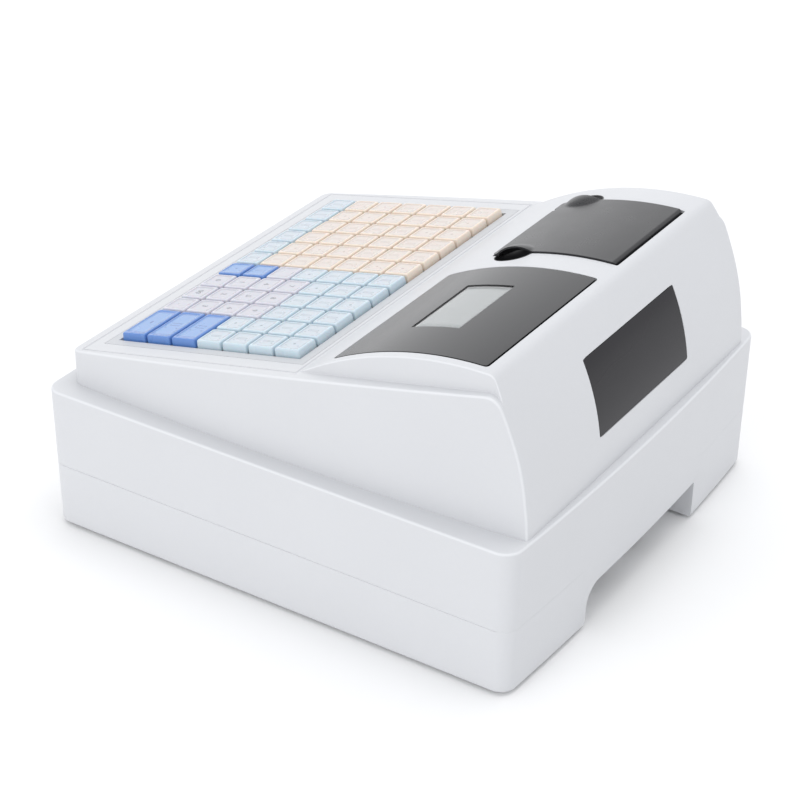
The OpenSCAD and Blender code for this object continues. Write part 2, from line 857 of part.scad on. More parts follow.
module motor_gear() {
    color([0.93, 0.92, 0.86]) {
        sideways([for (p = gear_outline(motor_teeth)) p + [platen_y, motor_z]], gear_x, gear_x + gear_w);
        x_rod([gear_x + gear_w/2, motor_x[0] + 10], platen_y, motor_z, motor_shaft_r);
    }
}

module platen_gear() {
    color([0.93, 0.92, 0.86])
    difference() {
        sideways([for (p = gear_outline(platen_teeth)) p + [platen_y, platen_z]], gear_x, gear_x + gear_w);
        x_rod([gear_x - over, gear_x + gear_w + over], platen_y, platen_z, shaft_r);
    }
}

platen_half = plate_x - plate_t - 4;

module platen_shaft() {
    color(steel) x_rod([gear_x, bay_mid + plate_x + 2], platen_y, platen_z, shaft_r);
}

module platen_roller() {
    color(black)
    difference() {
        x_rod([bay_mid - platen_half, bay_mid + platen_half], platen_y, platen_z, platen_r);
        x_rod([-far, far], platen_y, platen_z, shaft_r);
    }
}

module paper_roll() {
    color([0.97, 0.97, 0.95])
    difference() {
        x_rod([bay_mid - roll_w/2, bay_mid + roll_w/2], roll_y, roll_z, roll_d/2);
        x_rod([-far, far], roll_y, roll_z, core_r);
    }
}

module paper_core() {
    color([0.72, 0.60, 0.45])
    difference() {
        x_rod([bay_mid - core_w/2, bay_mid + core_w/2], roll_y, roll_z, core_r);
        x_rod([-far, far], roll_y, roll_z, core_bore_r);
    }
}

module printer_cover() {
    tab_x = cover_x[0] + 12.7;
    color(smoke)
    difference() {
        union() {
            hood_sheet(cover_x, cover_y, [-cover_rise, cover_t]);
            both_sides_of(bay_mid)
            hull() {
                x_rod([cover_w/2 - knuckle_in - knuckle_w, cover_w/2 - knuckle_in], hinge_y, hinge_z, knuckle_r);
                translate([cover_w/2 - knuckle_in - knuckle_w, hinge_y - 5, hinge_z + 0.8])
                    cube([knuckle_w, 5, 1]);
            }
        }
        for (x = cover_x)
            translate([x, well_y, 0]) cylinder(r = well_r + well_clear, h = far);
        translate([tab_x, cover_y[0], 0]) cylinder(r = 1.6, h = far);
        x_rod([-far, 0], hinge_y, hinge_z, hinge_pin_r + run);
    }
}

module cover_hinge_pin() {
    color(steel)
    x_rod([cover_x[0] - gap - ear_w, cover_x[1] + gap + ear_w], hinge_y, hinge_z, hinge_pin_r);
}

// dark round cups that the fingertips reach into to lift the cover
module grip_cups() {
    color(black)
    intersection() {
        for (x = cover_x)
            translate([x, well_y, well_z - well_wall])
            difference() {
                cylinder(r = well_r, h = hood_h);
                translate([0, 0, well_wall]) cylinder(r = well_r - well_wall, h = hood_h);
            }
        hood_sheet([-shell_w/2, 0], [well_y - 2*well_r, well_y + 2*well_r], [0, 4*well_floor]);
    }
}

// ---- electronics ----

board_lift = 4;
inner_back = 60;       // middle of the board and transformer in front of the base's rear
board_mid = [21, base_d/2 - inner_back];
board_w = 70;
board_l = 68;
board_post_in = 5;
board_post_r = 3;
chip = [20, 20, 3];
chip_at = [-11, 2];
driver = [18, 10, 3];
driver_at = [16, -15];
capacitor_r = 5;
capacitor_h = 12;
capacitor_x = 19;
capacitor_y = [4, 18];

module main_board() {
    top = board_lift + board_t;
    translate([board_mid[0], board_mid[1], base_top_z]) {
        color(board_green) {
            block([-board_w/2, board_w/2], [-board_l/2, board_l/2], [board_lift, top]);
            for (sx = [-1, 1], sy = [-1, 1])
                translate([sx*(board_w/2 - board_post_in), sy*(board_l/2 - board_post_in), 0])
                    cylinder(r = board_post_r, h = board_lift);
        }
        color(black) {
            translate([chip_at[0] - chip[0]/2, chip_at[1] - chip[1]/2, top]) cube(chip);
            translate([driver_at[0] - driver[0]/2, driver_at[1] - driver[1]/2, top]) cube(driver);
            for (y = capacitor_y)
                translate([capacitor_x, y, top]) cylinder(r = capacitor_r, h = capacitor_h);
        }
    }
}

// transformer with its laminated core, copper winding and foot plate
supply_in = 56.5;
supply_mid = [base_w/2 - supply_in, base_d/2 - inner_back];
supply_plate = [56, 60, 2];
supply_core = [44, 44, 38];
supply_winding = [32, 52, 32];

module on_supply(size, low) {
    translate([supply_mid[0] - size[0]/2, supply_mid[1] - size[1]/2, base_top_z + low]) cube(size);
}

module power_supply() {
    color(steel) {
        on_supply(supply_plate, 0);
        on_supply(supply_core, supply_plate[2]);
    }
    color([0.75, 0.50, 0.25])
    on_supply(supply_winding, supply_plate[2]);
}

// power and data sockets on the notch's inner wall
socket_low = foot_h + 8;
socket_h = 12;
socket_floor = 3;
inlet_x = -25;
inlet_w = 18;
inlet_d = 12;
inlet_bore_r = 3.4;
port_x = 24;
port_w = 32;
port_d = 8;
port_rim = 4;

module rear_sockets() {
    color(black)
    difference() {
        union() {
            block([inlet_x - inlet_w/2, inlet_x + inlet_w/2], [notch_y, notch_y + inlet_d], [socket_low, socket_low + socket_h]);
            block([port_x - port_w/2, port_x + port_w/2], [notch_y, notch_y + port_d], [socket_low, socket_low + socket_h]);
        }
        y_rod(inlet_x, [notch_y + socket_floor, far], socket_low + socket_h/2, inlet_bore_r);
        block([port_x - port_w/2 + port_rim, port_x + port_w/2 - port_rim], [notch_y + socket_floor, far],
            [socket_low + socket_floor, socket_low + socket_h - socket_floor]);
    }
}

// ---- cash drawer ----

tray_t = 1.5;
drawer_y = [base_front_y + front_t, base_front_y + front_t + tray_d];
drawer_z = sill_z + 4;
roller_w = 6;
axle_r = 2;
rear_roller_y = drawer_y[1] - 12;
rear_roller_z = drawer_z + 19;
channel_play = gap;
runner_z = rear_roller_z + roller_r + 5;
front_roller_y = base_front_y + 16;
front_roller_z = runner_z - gap - roller_r;
roller_x = tray_w/2 + 0.8;
striker_w = 16;
striker_y = 10;       // how far the striker stands behind the tray
striker_z = drawer_z + 36;
striker_rise = 5;
lock_z = drawer_z + 48;
lock_r = 9.5;
plug_r = 6;
catch_w = 30;
catch_z = drawer_z + tray_h + 4;

module drawer_rails() {
    floor_low = rear_roller_z - roller_r - channel_play;
    color(steel)
    both_sides() {
        difference() {
            union() {
                block([rail_x, rail_x + rail_t], [front_roller_y - 10, drawer_y[1] + 8], [floor_low - rail_t, runner_z + 2]);
                block([roller_x, rail_x + rail_t/2], [front_roller_y + 12, drawer_y[1] + 8], [floor_low - rail_t, floor_low]);
                block([roller_x, rail_x + rail_t/2], [front_roller_y + 12, drawer_y[1] + 8],
                    [rear_roller_z + roller_r + channel_play, rear_roller_z + roller_r + channel_play + rail_t]);
            }
        }
        x_rod([roller_x, rail_x + rail_t/2], front_roller_y, front_roller_z, axle_r);
    }
}

// a nylon roller bored for its axle
module roller(y, z) {
    difference() {
        x_rod([roller_x + gap, roller_x + gap + roller_w], y, z, roller_r);
        x_rod([0, far], y, z, axle_r + run);
    }
}

module front_rollers() {
    color([0.90, 0.90, 0.86]) both_sides() roller(front_roller_y, front_roller_z);
}

module rear_rollers() {
    color([0.90, 0.90, 0.86]) both_sides() roller(rear_roller_y, rear_roller_z);
}

module drawer_tray() {
    w = tray_w/2;
    color(steel)
    difference() {
        union() {
            difference() {
                block([-w, w], drawer_y, [drawer_z, drawer_z + tray_h]);
                block([tray_t - w, w - tray_t], [drawer_y[0] + tray_t, drawer_y[1] - tray_t],
                    [drawer_z + tray_t, drawer_z + tray_h + over]);
            }
            both_sides() {
                block([w - tray_t/2, w + 6], drawer_y, [runner_z, runner_z + tray_t]);
                x_rod([w - tray_t/2, w + 7.6], rear_roller_y, rear_roller_z, axle_r);
            }
            block([-striker_w/2, striker_w/2], [drawer_y[1] - tray_t/2, drawer_y[1] + striker_y], [striker_z - tray_t, striker_z]);
            block([-striker_w/2, striker_w/2], [drawer_y[1] + striker_y - 2, drawer_y[1] + striker_y],
                [striker_z - tray_t/2, striker_z + striker_rise]);
        }
        y_rod(0, [-far, drawer_y[0] + 2*tray_t], lock_z, lock_r);
    }
}

module drawer_front() {
    color(white)
    difference() {
        block([-front_w/2, front_w/2], [base_front_y, drawer_y[0]], [sill_z + 0.6, sill_z + 0.6 + front_panel_h]);
        y_rod(0, [-far, 0], lock_z, lock_r);
    }
}

lock_end = base_front_y + 20;

module lock_cylinder() {
    color(steel)
    difference() {
        y_rod(0, [base_front_y, lock_end], lock_z, lock_r);
        y_rod(0, [-far, 0], lock_z, plug_r + run);
    }
}

cam_t = 2;
cam_w = 8;
cam_l = catch_z + cam_w/2 - lock_z;
keyway = [1.4, 7, 8];  // width, height and depth

// turning plug with its keyway and the cam behind it
module lock_plug() {
    color(steel)
    difference() {
        union() {
            y_rod(0, [base_front_y, lock_end + gap + cam_t], lock_z, plug_r);
            block([0, cam_l], [lock_end + gap, lock_end + gap + cam_t], [lock_z - cam_w/2, lock_z + cam_w/2]);
        }
        block([-keyway[0]/2, keyway[0]/2], [base_front_y - over, base_front_y + keyway[2]],
            [lock_z - keyway[1]/2, lock_z + keyway[1]/2]);
    }
}

// insert with round-bottomed coin cups in front and note compartments behind
insert_w = tray_w - 2*tray_t - 0.6;
insert_y = [lock_end + 8, drawer_y[1] - tray_t - gap];
insert_z = [drawer_z + tray_t, drawer_z + tray_h - 5];
rib = 2;
bay_pitch = (insert_w - rib)/note_bays;
cup_rows = 2;
cup_l = 46;
cup_depth = 34;
cup_floor_r = 20;
note_y = [insert_y[0] + rib + cup_rows*(cup_l + rib), insert_y[1] - rib];
rod_r = 1.5;
rod_y = note_y[1] - 6;
rod_z = insert_z[1] - 7;

function bay_x(n) = (n - (note_bays + 1)/2)*bay_pitch;

module coin_cup() {
    w = bay_pitch - rib;
    top = insert_z[1];
    low = top - cup_depth;
    outline = concat(
        [[cup_l, top + over], [0, top + over]],
        arc([cup_floor_r, low + cup_floor_r], cup_floor_r, 180, 270),
        arc([cup_l - cup_floor_r, low + cup_floor_r], cup_floor_r, 270, 360)
    );
    sideways(outline, -w/2, w/2);
}

module coin_tray() {
    color([0.20, 0.20, 0.22])
    difference() {
        block([-insert_w/2, insert_w/2], insert_y, insert_z);
        for (n = [1:note_bays]) {
            for (row = [0:cup_rows - 1])
                translate([bay_x(n), insert_y[0] + rib + row*(cup_l + rib), 0]) coin_cup();
            block([bay_x(n) - bay_pitch/2 + rib/2, bay_x(n) + bay_pitch/2 - rib/2], note_y,
                [insert_z[0] + rib, insert_z[1] + over]);
        }
        x_rod([-insert_w/2 - over, insert_w/2 + over], rod_y, rod_z, rod_r);
    }
}

module clip_rod() {
    color(steel) x_rod([-insert_w/2, insert_w/2], rod_y, rod_z, rod_r);
}

clip_reach = 104;
clip_w = 15;
clip_t = 2;
clip_hub_r = 4;
clip_fall = asin((rod_z - insert_z[0] - rib - 1.6)/clip_reach);

// sprung arm that holds notes down, resting just over the compartment's floor
module note_clip(n) {
    color(steel)
    translate([bay_x(n), rod_y, rod_z])
    rotate([clip_fall, 0, 0])
    difference() {
        union() {
            x_rod([-clip_w/2, clip_w/2], 0, 0, clip_hub_r);
            block([-clip_w/2, clip_w/2], [-clip_reach, 0], [-clip_t/2, clip_t/2]);
            x_rod([-clip_w/2, clip_w/2], -clip_reach, 0.6, clip_t/2 + 0.4);
        }
        x_rod([-clip_w, clip_w], 0, 0, rod_r + run);
    }
}

// ---- latch ----

yoke_z = base_top_z - wall;
pivot_y = drawer_y[1] + 29;
pivot_z = striker_z + 16;
pivot_r = 1.5;
coil_y = [drawer_y[1] + 7, drawer_y[1] + 23];
coil_mid = (coil_y[0] + coil_y[1])/2;
coil_low = pivot_z + 8;
coil_w = 18;
plunger_r = 3;
yoke_w = 24;
yoke_t = 1.5;
cheek_x = 6;
cheek_w = 8;
lever_r = 4;
lever_w = 10;
hook_y = drawer_y[1] + 2.2;
hook_t = 2.6;
hook_lift = 1.5;

module latch_solenoid() {
    color(steel)
    difference() {
        union() {
            block([-yoke_w/2, yoke_w/2], [coil_y[0] - 2, pivot_y + cheek_w/2 + 2], [yoke_z - yoke_t, yoke_z]);
            both_sides()
            block([cheek_x, cheek_x + yoke_t], [pivot_y - cheek_w/2, pivot_y + cheek_w/2],
                [pivot_z - cheek_w/2, yoke_z - yoke_t/2]);
            block([-coil_w/2, coil_w/2], coil_y, [coil_low, yoke_z - yoke_t/2]);
        }
        x_rod([-far, far], pivot_y, pivot_z, pivot_r + run);
        translate([0, coil_mid, coil_low - over]) cylinder(r = plunger_r + run, h = yoke_z - coil_low - 1);
    }
}

module solenoid_plunger() {
    color(steel)
    translate([0, coil_mid, pivot_z + lever_r + gap]) cylinder(r = plunger_r, h = yoke_z - pivot_z - 10);
}

// hook that drops in front of the drawer's striker, drawn lifted
module latch_lever() {
    half = lever_w/2;
    color(steel)
    union() {
        x_rod([-half, half], pivot_y, pivot_z, lever_r);
        block([-half, half], [hook_y, pivot_y], [pivot_z, pivot_z + lever_r]);
        block([-half, half], [hook_y, hook_y + hook_t], [striker_z + striker_rise + hook_lift, pivot_z + 1]);
        x_rod([-cheek_x - 2, cheek_x + 2], pivot_y, pivot_z, pivot_r);
    }
}

// helical spring that pushes the opened drawer off its stop, drawn pressed together
spring_x = 40;
spring_z = drawer_z + 8;
spring_seat_r = 5;
spring_r = 6.6;
wire_r = 0.8;
spring_turns = 5;
ring_sides = 8;
turn_steps = 16;

module eject_spring() {
    y0 = drawer_y[1] + gap;
    y1 = notch_y - wall - gap;
    length = y1 - y0 - 2*wire_r;
    rings = spring_turns*turn_steps;
    points = [for (i = [0:rings]) for (j = [0:ring_sides - 1])
        let (
            turn = 360*i/turn_steps,
            side = 360*j/ring_sides,
            r = spring_r + wire_r*cos(side)
        )
        [r*cos(turn), wire_r + length*i/rings + wire_r*sin(side), r*sin(turn)]];
    sides = [for (i = [0:rings - 1]) for (j = [0:ring_sides - 1])
        let (k = (j + 1) % ring_sides)
        [i*ring_sides + j, i*ring_sides + k, (i + 1)*ring_sides + k, (i + 1)*ring_sides + j]];
    ends = [[for (j = [ring_sides - 1:-1:0]) j], [for (j = [0:ring_sides - 1]) rings*ring_sides + j]];
    color(steel)
    translate([spring_x, y0, spring_z]) polyhedron(points, concat(sides, ends));
}

// ---- nodes ----

rubber_feet();
lower_housing();
upper_housing();
case_screws();
register_shell();
key_frame();
keyboard_board();
display_lens();
operator_display();
customer_window();
customer_display();
printer_chassis();
thermal_head();
printer_motor();
motor_gear();
platen_roller();
platen_shaft();
platen_gear();
paper_roll();
paper_core();
printer_cover();
cover_hinge_pin();
grip_cups();
main_board();
power_supply();
rear_sockets();
drawer_rails();
front_rollers();
rear_rollers();
drawer_tray();
drawer_front();
lock_cylinder();
lock_plug();
coin_tray();
clip_rod();
note_clip(1);  // note_clip_1
note_clip(2);  // note_clip_2
note_clip(3);  // note_clip_3
note_clip(4);  // note_clip_4
latch_solenoid();
solenoid_plunger();
latch_lever();
eject_spring();
wide_key(0);  // wide_key_1
wide_key(1);  // wide_key_2
wide_key(2);  // wide_key_3
side_keys();
upper_keys();
action_keys();
front_row_keys();
number_keys(1);  // number_keys_1
number_keys(2);  // number_keys_2
number_keys(3);  // number_keys_3
department_keys(1);  // department_keys_1
department_keys(2);  // department_keys_2
department_keys(3);  // department_keys_3
department_keys(4);  // department_keys_4
department_keys(5);  // department_keys_5
department_keys(6);  // department_keys_6
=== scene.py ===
import math
import bmesh
import bpy
import numpy as np
from mathutils import Matrix, Vector


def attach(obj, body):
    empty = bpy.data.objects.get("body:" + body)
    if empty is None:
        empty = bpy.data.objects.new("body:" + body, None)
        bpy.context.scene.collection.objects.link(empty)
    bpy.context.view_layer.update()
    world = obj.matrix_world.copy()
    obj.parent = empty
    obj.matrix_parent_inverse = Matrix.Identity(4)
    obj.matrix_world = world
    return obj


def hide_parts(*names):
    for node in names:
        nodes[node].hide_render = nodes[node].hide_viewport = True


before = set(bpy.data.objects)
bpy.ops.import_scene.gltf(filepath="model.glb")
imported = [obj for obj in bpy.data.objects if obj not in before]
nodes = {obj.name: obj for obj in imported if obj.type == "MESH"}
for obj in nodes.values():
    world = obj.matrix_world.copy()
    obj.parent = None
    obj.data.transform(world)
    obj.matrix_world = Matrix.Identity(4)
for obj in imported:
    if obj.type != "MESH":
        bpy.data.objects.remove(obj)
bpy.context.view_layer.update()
print("frame:", len(nodes), "nodes")

mm = 0.001
join = np.concatenate

# sizes that several pieces share, in millimetres
case = dict(
    front=-155.65, rear=160.0, half=134.85, sideBow=4.5, corner=6.0, edge=1.4,
    baseTop=95.2, edgeZ=117.0, tilt=math.radians(11.75),
    rearCentre=(16.6, 102.3), rearRadius=143.4, hoodCentre=(125.1, -18.3), hoodRadius=205.5,
    hoodHalf=130.5, brow=6.0, shoulder=12.0, footFillet=5.0, bowPast=1.0,
)
tiltCos, tiltSin = math.cos(case["tilt"]), math.sin(case["tilt"])
deckFront, hoodRadius, rearRadius = case["front"], case["hoodRadius"], case["rearRadius"]
(hoodY, hoodZ), (rearY, rearZ) = hoodCentre, rearCentre = case["hoodCentre"], case["rearCentre"]


def deckHeight(y):  # the keyboard deck: a straight slope from its front edge
    return case["edgeZ"] + (y - deckFront) * math.tan(case["tilt"])


def hoodHeight(y):  # the hood: the top of a circle
    return hoodZ + np.sqrt(np.maximum(hoodRadius ** 2 - (y - hoodY) ** 2, 0))


def rearDepth(z):  # the rear face: the side of a circle, upright below its centre
    rise = np.maximum(z - rearZ, 0)
    return rearY + np.sqrt(rearRadius ** 2 - rise ** 2)


def onHood(u, v, lift):  # x and y on the hood, lifted along the circle's radius
    z = hoodHeight(v)
    k = lift / hoodRadius
    return np.stack([u + 0 * v, v + k * (v - hoodY), z + k * (z - hoodZ)], -1)


def onRear(u, v, lift):  # x and z on the rear face, lifted along the circle's radius
    y = rearDepth(v)
    k = lift / rearRadius
    return np.stack([u + 0 * v, y + k * (y - rearY), v + k * (v - rearZ)], -1)


def onDeck(x, v, lift):  # x across, v up the slope from the front edge, lift out of it
    return np.stack([x + 0 * v, deckFront + v * tiltCos - lift * tiltSin,
                     case["edgeZ"] + v * tiltSin + lift * tiltCos], -1)


def quarter(count):  # angles from 0 to a right angle
    return np.linspace(0, math.pi / 2, count)


def smooth(t):  # eases from 0 to 1: three times the square less twice the cube
    t = np.clip(t, 0, 1)
    return t * t * (3 - 2 * t)


def bothEnds(span, insets):  # places inside a span, measured from each of its ends
    return [span[0] + d for d in insets] + [span[1] - d for d in insets]


def lines(start, end, step, marks=(), apart=0.4):  # even grid lines, with exact ones at the marks
    even = np.linspace(start, end, max(2, int(round(abs(end - start) / step)) + 1))
    marks = np.unique([m for m in marks if start < m < end])
    if len(marks):
        free = np.abs(even[:, None] - marks[None, :]).min(1) > step * apart
        free[[0, -1]] = True
        even = np.sort(join([even[free], marks]))
    return even


def gridFaces(rows, columns, keep=None, flip=False):  # quads between neighbouring rows and columns
    i = np.arange(rows * columns).reshape(rows, columns)
    quads = np.stack([i[:-1, :-1], i[:-1, 1:], i[1:, 1:], i[1:, :-1]], -1).reshape(-1, 4)
    if keep is not None:
        quads = quads[keep.reshape(-1)]
    return quads[:, ::-1] if flip else quads


def sheet(grid, keep=None, flip=False):  # a grid of points with its faces
    return grid, gridFaces(*grid.shape[:2], keep, flip)


def lid(ring, flip=False):  # one face inside a ring of points
    order = list(range(len(ring)))
    return ring, [order[::-1] if flip else order]


def joinParts(parts):  # several point and face lists as one
    points, faces, first = [], [], 0
    for p, f in parts:
        p = np.asarray(p, float).reshape(-1, 3)
        points.append(p)
        faces += [[int(k) + first for k in face] for face in f]
        first += len(p)
    return join(points), faces


def putMesh(name, parts, weld=0.02, sharp=None, paintedHighlights=None, least=0.004):
    # one mesh of all the parts, merging points closer than weld; the highlight shares give each point's share
    # of painted highlight, kept as its rim attribute
    points, faces = joinParts(parts)
    mesh = bpy.data.meshes.new(name)
    mesh.from_pydata((points * mm).tolist(), [], faces)
    if paintedHighlights:
        highlightShare = join([np.asarray(r, np.float32).ravel() for r in paintedHighlights])
        mesh.attributes.new("rim", "FLOAT", "POINT").data.foreach_set("value", highlightShare)
    work = bmesh.new()
    work.from_mesh(mesh)
    bmesh.ops.remove_doubles(work, verts=work.verts, dist=weld * mm)
    bmesh.ops.dissolve_degenerate(work, edges=work.edges, dist=least * mm)
    loose = [v for v in work.verts if not v.link_faces]
    bmesh.ops.delete(work, geom=loose, context="VERTS")
    work.to_mesh(mesh)
    work.free()
    mesh.shade_smooth()
    if sharp:
        mesh.set_sharp_from_angle(angle=math.radians(sharp))
    piece = bpy.data.objects.new(name, mesh)
    bpy.context.scene.collection.objects.link(piece)
    return piece


def thicken(piece, thickness):  # a wall on the inner side of a surface
    wall = piece.modifiers.new("wall", "SOLIDIFY")
    wall.thickness = thickness * mm
    wall.offset = -1
    wall.use_even_offset = False


def roundEdges(piece, width, angle=50, segments=2):
    edge = piece.modifiers.new("edge", "BEVEL")
    edge.width = width * mm
    edge.segments = segments
    edge.limit_method = "ANGLE"
    edge.angle_limit = math.radians(angle)
    edge.use_clamp_overlap = True
    edge.harden_normals = True


def finishPiece(piece, body, slotName, *replaced, finish=None):
    piece.data.materials.clear()
    piece.data.materials.append(finish or looks[slotName])
    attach(piece, body)
    if replaced:
        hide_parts(*replaced)
    return piece


def roundBox(u, v, box, radius):  # distance to a rectangle with round corners, negative inside
    du = np.abs(u - (box[0] + box[1]) / 2) - (box[1] - box[0]) / 2 + radius
    dv = np.abs(v - (box[2] + box[3]) / 2) - (box[3] - box[2]) / 2 + radius
    outside = np.hypot(np.maximum(du, 0), np.maximum(dv, 0))
    return outside + np.minimum(np.maximum(du, dv), 0) - radius


def disc(u, v, centre, radius):  # distance to a circle, negative inside
    return np.hypot(u - centre[0], v - centre[1]) - radius


def snapTo(shape, u, v, moved):
    # moves the chosen points down the slope of a distance until they lie on the outline, by Newton's steps
    e = 0.01
    for _ in range(4):
        d = shape(u, v)
        gu = (shape(u + e, v) - shape(u - e, v)) / (2 * e)
        gv = (shape(u, v + e) - shape(u, v - e)) / (2 * e)
        step = np.where(moved, d / np.maximum(gu * gu + gv * gv, 0.3), 0)
        u, v = u - step * gu, v - step * gv
    return u, v


def rimWalls(rows, columns, keep, flip):
    # quads between the rims of two stacked grids: one for each side of a kept cell with no kept neighbour
    under = rows * columns
    i = np.arange(under).reshape(rows, columns)
    a, b, c, d = i[:-1, :-1], i[:-1, 1:], i[1:, 1:], i[1:, :-1]
    wide = np.pad(keep, 1)
    sides = ((a, b, wide[:-2, 1:-1]), (b, c, wide[1:-1, 2:]), (c, d, wide[2:, 1:-1]), (d, a, wide[1:-1, :-2]))
    quads = [np.stack([p + under, q + under, q, p], -1)[keep & ~beside] for p, q, beside in sides]
    return join(quads)[:, ::-1 if flip else 1]


def cellMiddles(a):  # the mean of each cell's four corners
    return (a[:-1, :-1] + a[:-1, 1:] + a[1:, 1:] + a[1:, :-1]) / 4


def edgePoints(keep, outside=-1):
    # points of the grid that touch both a kept cell and a dropped one; with outside 0 also its border
    padded = np.pad(keep.astype(int), 1, constant_values=outside)
    around = np.stack([padded[:-1, :-1], padded[:-1, 1:], padded[1:, :-1], padded[1:, 1:]])
    return (around == 1).any(0) & (around == 0).any(0)


class Wire:
    # one output of a node; arithmetic on it adds Math nodes
    def __init__(self, finish, socket):
        self.finish, self.socket = finish, socket

    def math(self, operation, *others):
        inputs = dict(enumerate((self,) + others))
        return self.finish.node("ShaderNodeMath", {"operation": operation}, inputs)

    def __rsub__(self, other):
        return self.finish.node("ShaderNodeMath", {"operation": "SUBTRACT"}, {0: other, 1: self})

    def out(self, name):  # another output of the same node
        return Wire(self.finish, self.socket.node.outputs[name])


for sign, operation in (("add", "ADD"), ("radd", "ADD"), ("mul", "MULTIPLY"), ("rmul", "MULTIPLY"),
                        ("sub", "SUBTRACT"), ("gt", "GREATER_THAN"), ("lt", "LESS_THAN")):
    setattr(Wire, "__%s__" % sign, lambda self, other, kind=operation: self.math(kind, other))


class Finish:
    # a node material, built from one method that adds a node
    def __init__(self, name, **constants):
        self.material = bpy.data.materials.new(name)
        self.material.use_nodes = True
        self.tree = self.material.node_tree
        self.tree.nodes.clear()
        self.shader = self.node("ShaderNodeBsdfPrincipled", {}, {})
        self.node("ShaderNodeOutputMaterial", {}, {"Surface": self.shader})
        for key, value in constants.items():
            self.shader.socket.node.inputs[key.replace("_", " ")].default_value = value
        self.place = self.node("ShaderNodeTexCoord", {}, {}).out("Object")

    def node(self, kind, settings, values):
        made = self.tree.nodes.new(kind)
        for key, value in settings.items():
            setattr(made, key, value)
        for key, value in values.items():
            if isinstance(value, Wire):
                self.tree.links.new(value.socket, made.inputs[key])
            else:
                made.inputs[key].default_value = value
        return Wire(self, made.outputs[0]) if made.outputs else None

    def set(self, **wires):
        for key, wire in wires.items():
            self.tree.links.new(wire.socket, self.shader.socket.node.inputs[key.replace("_", " ")])
        return self.material

    def noise(self, scale, detail=2.0, place=None, rough=0.5):
        return self.node("ShaderNodeTexNoise", {}, {"Vector": place or self.place, "Scale": scale,
                                                    "Detail": detail, "Roughness": rough})

    def mix(self, factor, first, second):  # two colours
        made = self.node("ShaderNodeMix", {"data_type": "RGBA"}, {})
        sockets = made.socket.node.inputs
        for index, value in ((0, factor), (6, first), (7, second)):
            if isinstance(value, Wire):
                self.tree.links.new(value.socket, sockets[index])
            else:
                sockets[index].default_value = value if index == 0 else (*value[:3], 1)
        return Wire(self, made.socket.node.outputs[2])

    def bump(self, height, strength, distance):
        return self.node("ShaderNodeBump", {}, {"Height": height, "Strength": strength, "Distance": distance})

    def plane(self, place):  # x and y of a place
        return (self.node("ShaderNodeSeparateXYZ", {}, {"Vector": place}).out(a) for a in "XY")

    def stretched(self, scale):  # object coordinates pulled along an axis
        return self.node("ShaderNodeMapping", {}, {"Vector": self.place, "Scale": scale})


def shade(colour, amount):
    return tuple(min(1, c * amount) for c in colour)


def moulded(name, colour, roughness, grain, mottle=0.03, scale=1500):
    # spark-eroded plastic: fine grain, faint cloudiness, scuffed gloss, and rounded edges made paler by a
    # painted highlight
    f = Finish(name)
    cloud = f.noise(14, 3)
    speck = f.noise(420, 2)
    tone = cloud * 0.7 + speck * 0.3
    fine = f.noise(scale, 2)
    # the rim attribute gives each point's share of painted highlight, which mixes the colour towards a paler
    # copy
    rim = f.node("ShaderNodeAttribute", {"attribute_name": "rim"}, {}).out("Fac")
    plain = f.mix(tone, shade(colour, 1 - mottle), shade(colour, 1 + mottle))
    return f.set(Base_Color=f.mix(rim * 0.45, plain, shade(colour, 1.3)),
                 Roughness=roughness - 0.08 + 0.1 * f.noise(55, 3) + 0.06 * fine,
                 Normal=f.bump(fine, grain, 0.00005))


def metal(name, colour, roughness, pull=(30, 900, 900), grain=0.2):
    # rolled or turned metal: fine lines along one axis and cloudy plating
    f = Finish(name, Metallic=1.0)
    streak = f.noise(1.0, 3, f.stretched(pull))
    cloud = f.noise(45, 4)
    return f.set(Base_Color=f.mix(cloud * 0.6 + streak * 0.4, shade(colour, 0.82), shade(colour, 1.08)),
                 Roughness=roughness - 0.1 + 0.2 * streak + 0.08 * cloud,
                 Normal=f.bump(streak, grain, 0.00003))


def speckled(name, colour, second, scale, roughness, depth=0.0002):
    # paper, card and rubber: two tones in fibres or specks
    f = Finish(name)
    fibre = f.noise(scale, 5, rough=0.7)
    return f.set(Base_Color=f.mix(fibre, colour, second), Roughness=roughness + 0.1 * fibre,
                 Normal=f.bump(fibre, 0.4, depth))


def smokedGlass(name, colour, roughness, clearBox=None, gloss=0.5):
    # polished smoked plastic, clear over the box that the display shows through
    f = Finish(name, IOR=1.49, Specular_IOR_Level=gloss)
    haze = f.noise(30, 3)
    dust = f.noise(900, 1)
    base = f.mix(haze, shade(colour, 0.9), shade(colour, 1.12))
    wires = dict(Base_Color=base, Roughness=roughness + 0.05 * haze + 0.03 * dust)
    if clearBox is not None:
        x, y = f.plane(f.place)
        x0, x1, y0, y1 = (c * mm for c in clearBox)
        inside = (x > x0) * (x < x1) * (y > y0) * (y < y1)
        wires["Alpha"] = 1 - 0.86 * inside
    return f.set(**wires)


def liquidCrystal(name, corner):
    # grey display with the faint grid of its unlit cells; at its far edges a near-black line of painted
    # shadow from the frame, with a pale line inside it
    f = Finish(name, Coat_Weight=0.3)
    x, y = f.plane(f.place)
    far, darkTo, paleTo = (x - corner[0] * mm).math("MINIMUM", y - corner[1] * mm), 1.4 * mm, 2.7 * mm
    frameShadowLine, paleLine = far < darkTo, (far > darkTo) * (far < paleTo)
    cellX = (x * 150).math("FRACT") > 0.12
    cellY = (y * 110).math("FRACT") > 0.10
    cloud = f.noise(25, 2)
    ground = f.mix(cloud, (0.66, 0.69, 0.69), (0.74, 0.77, 0.77))
    cells = f.mix(cellX * cellY * 0.2, ground, (0.58, 0.61, 0.61))
    # the near-black line at the far edges is painted shadow of the frame
    return f.set(Base_Color=f.mix(frameShadowLine, f.mix(paleLine, cells, (0.95, 0.96, 0.96)), (0.02, 0.02, 0.02)),
                 Roughness=0.25 + 0.1 * cloud)


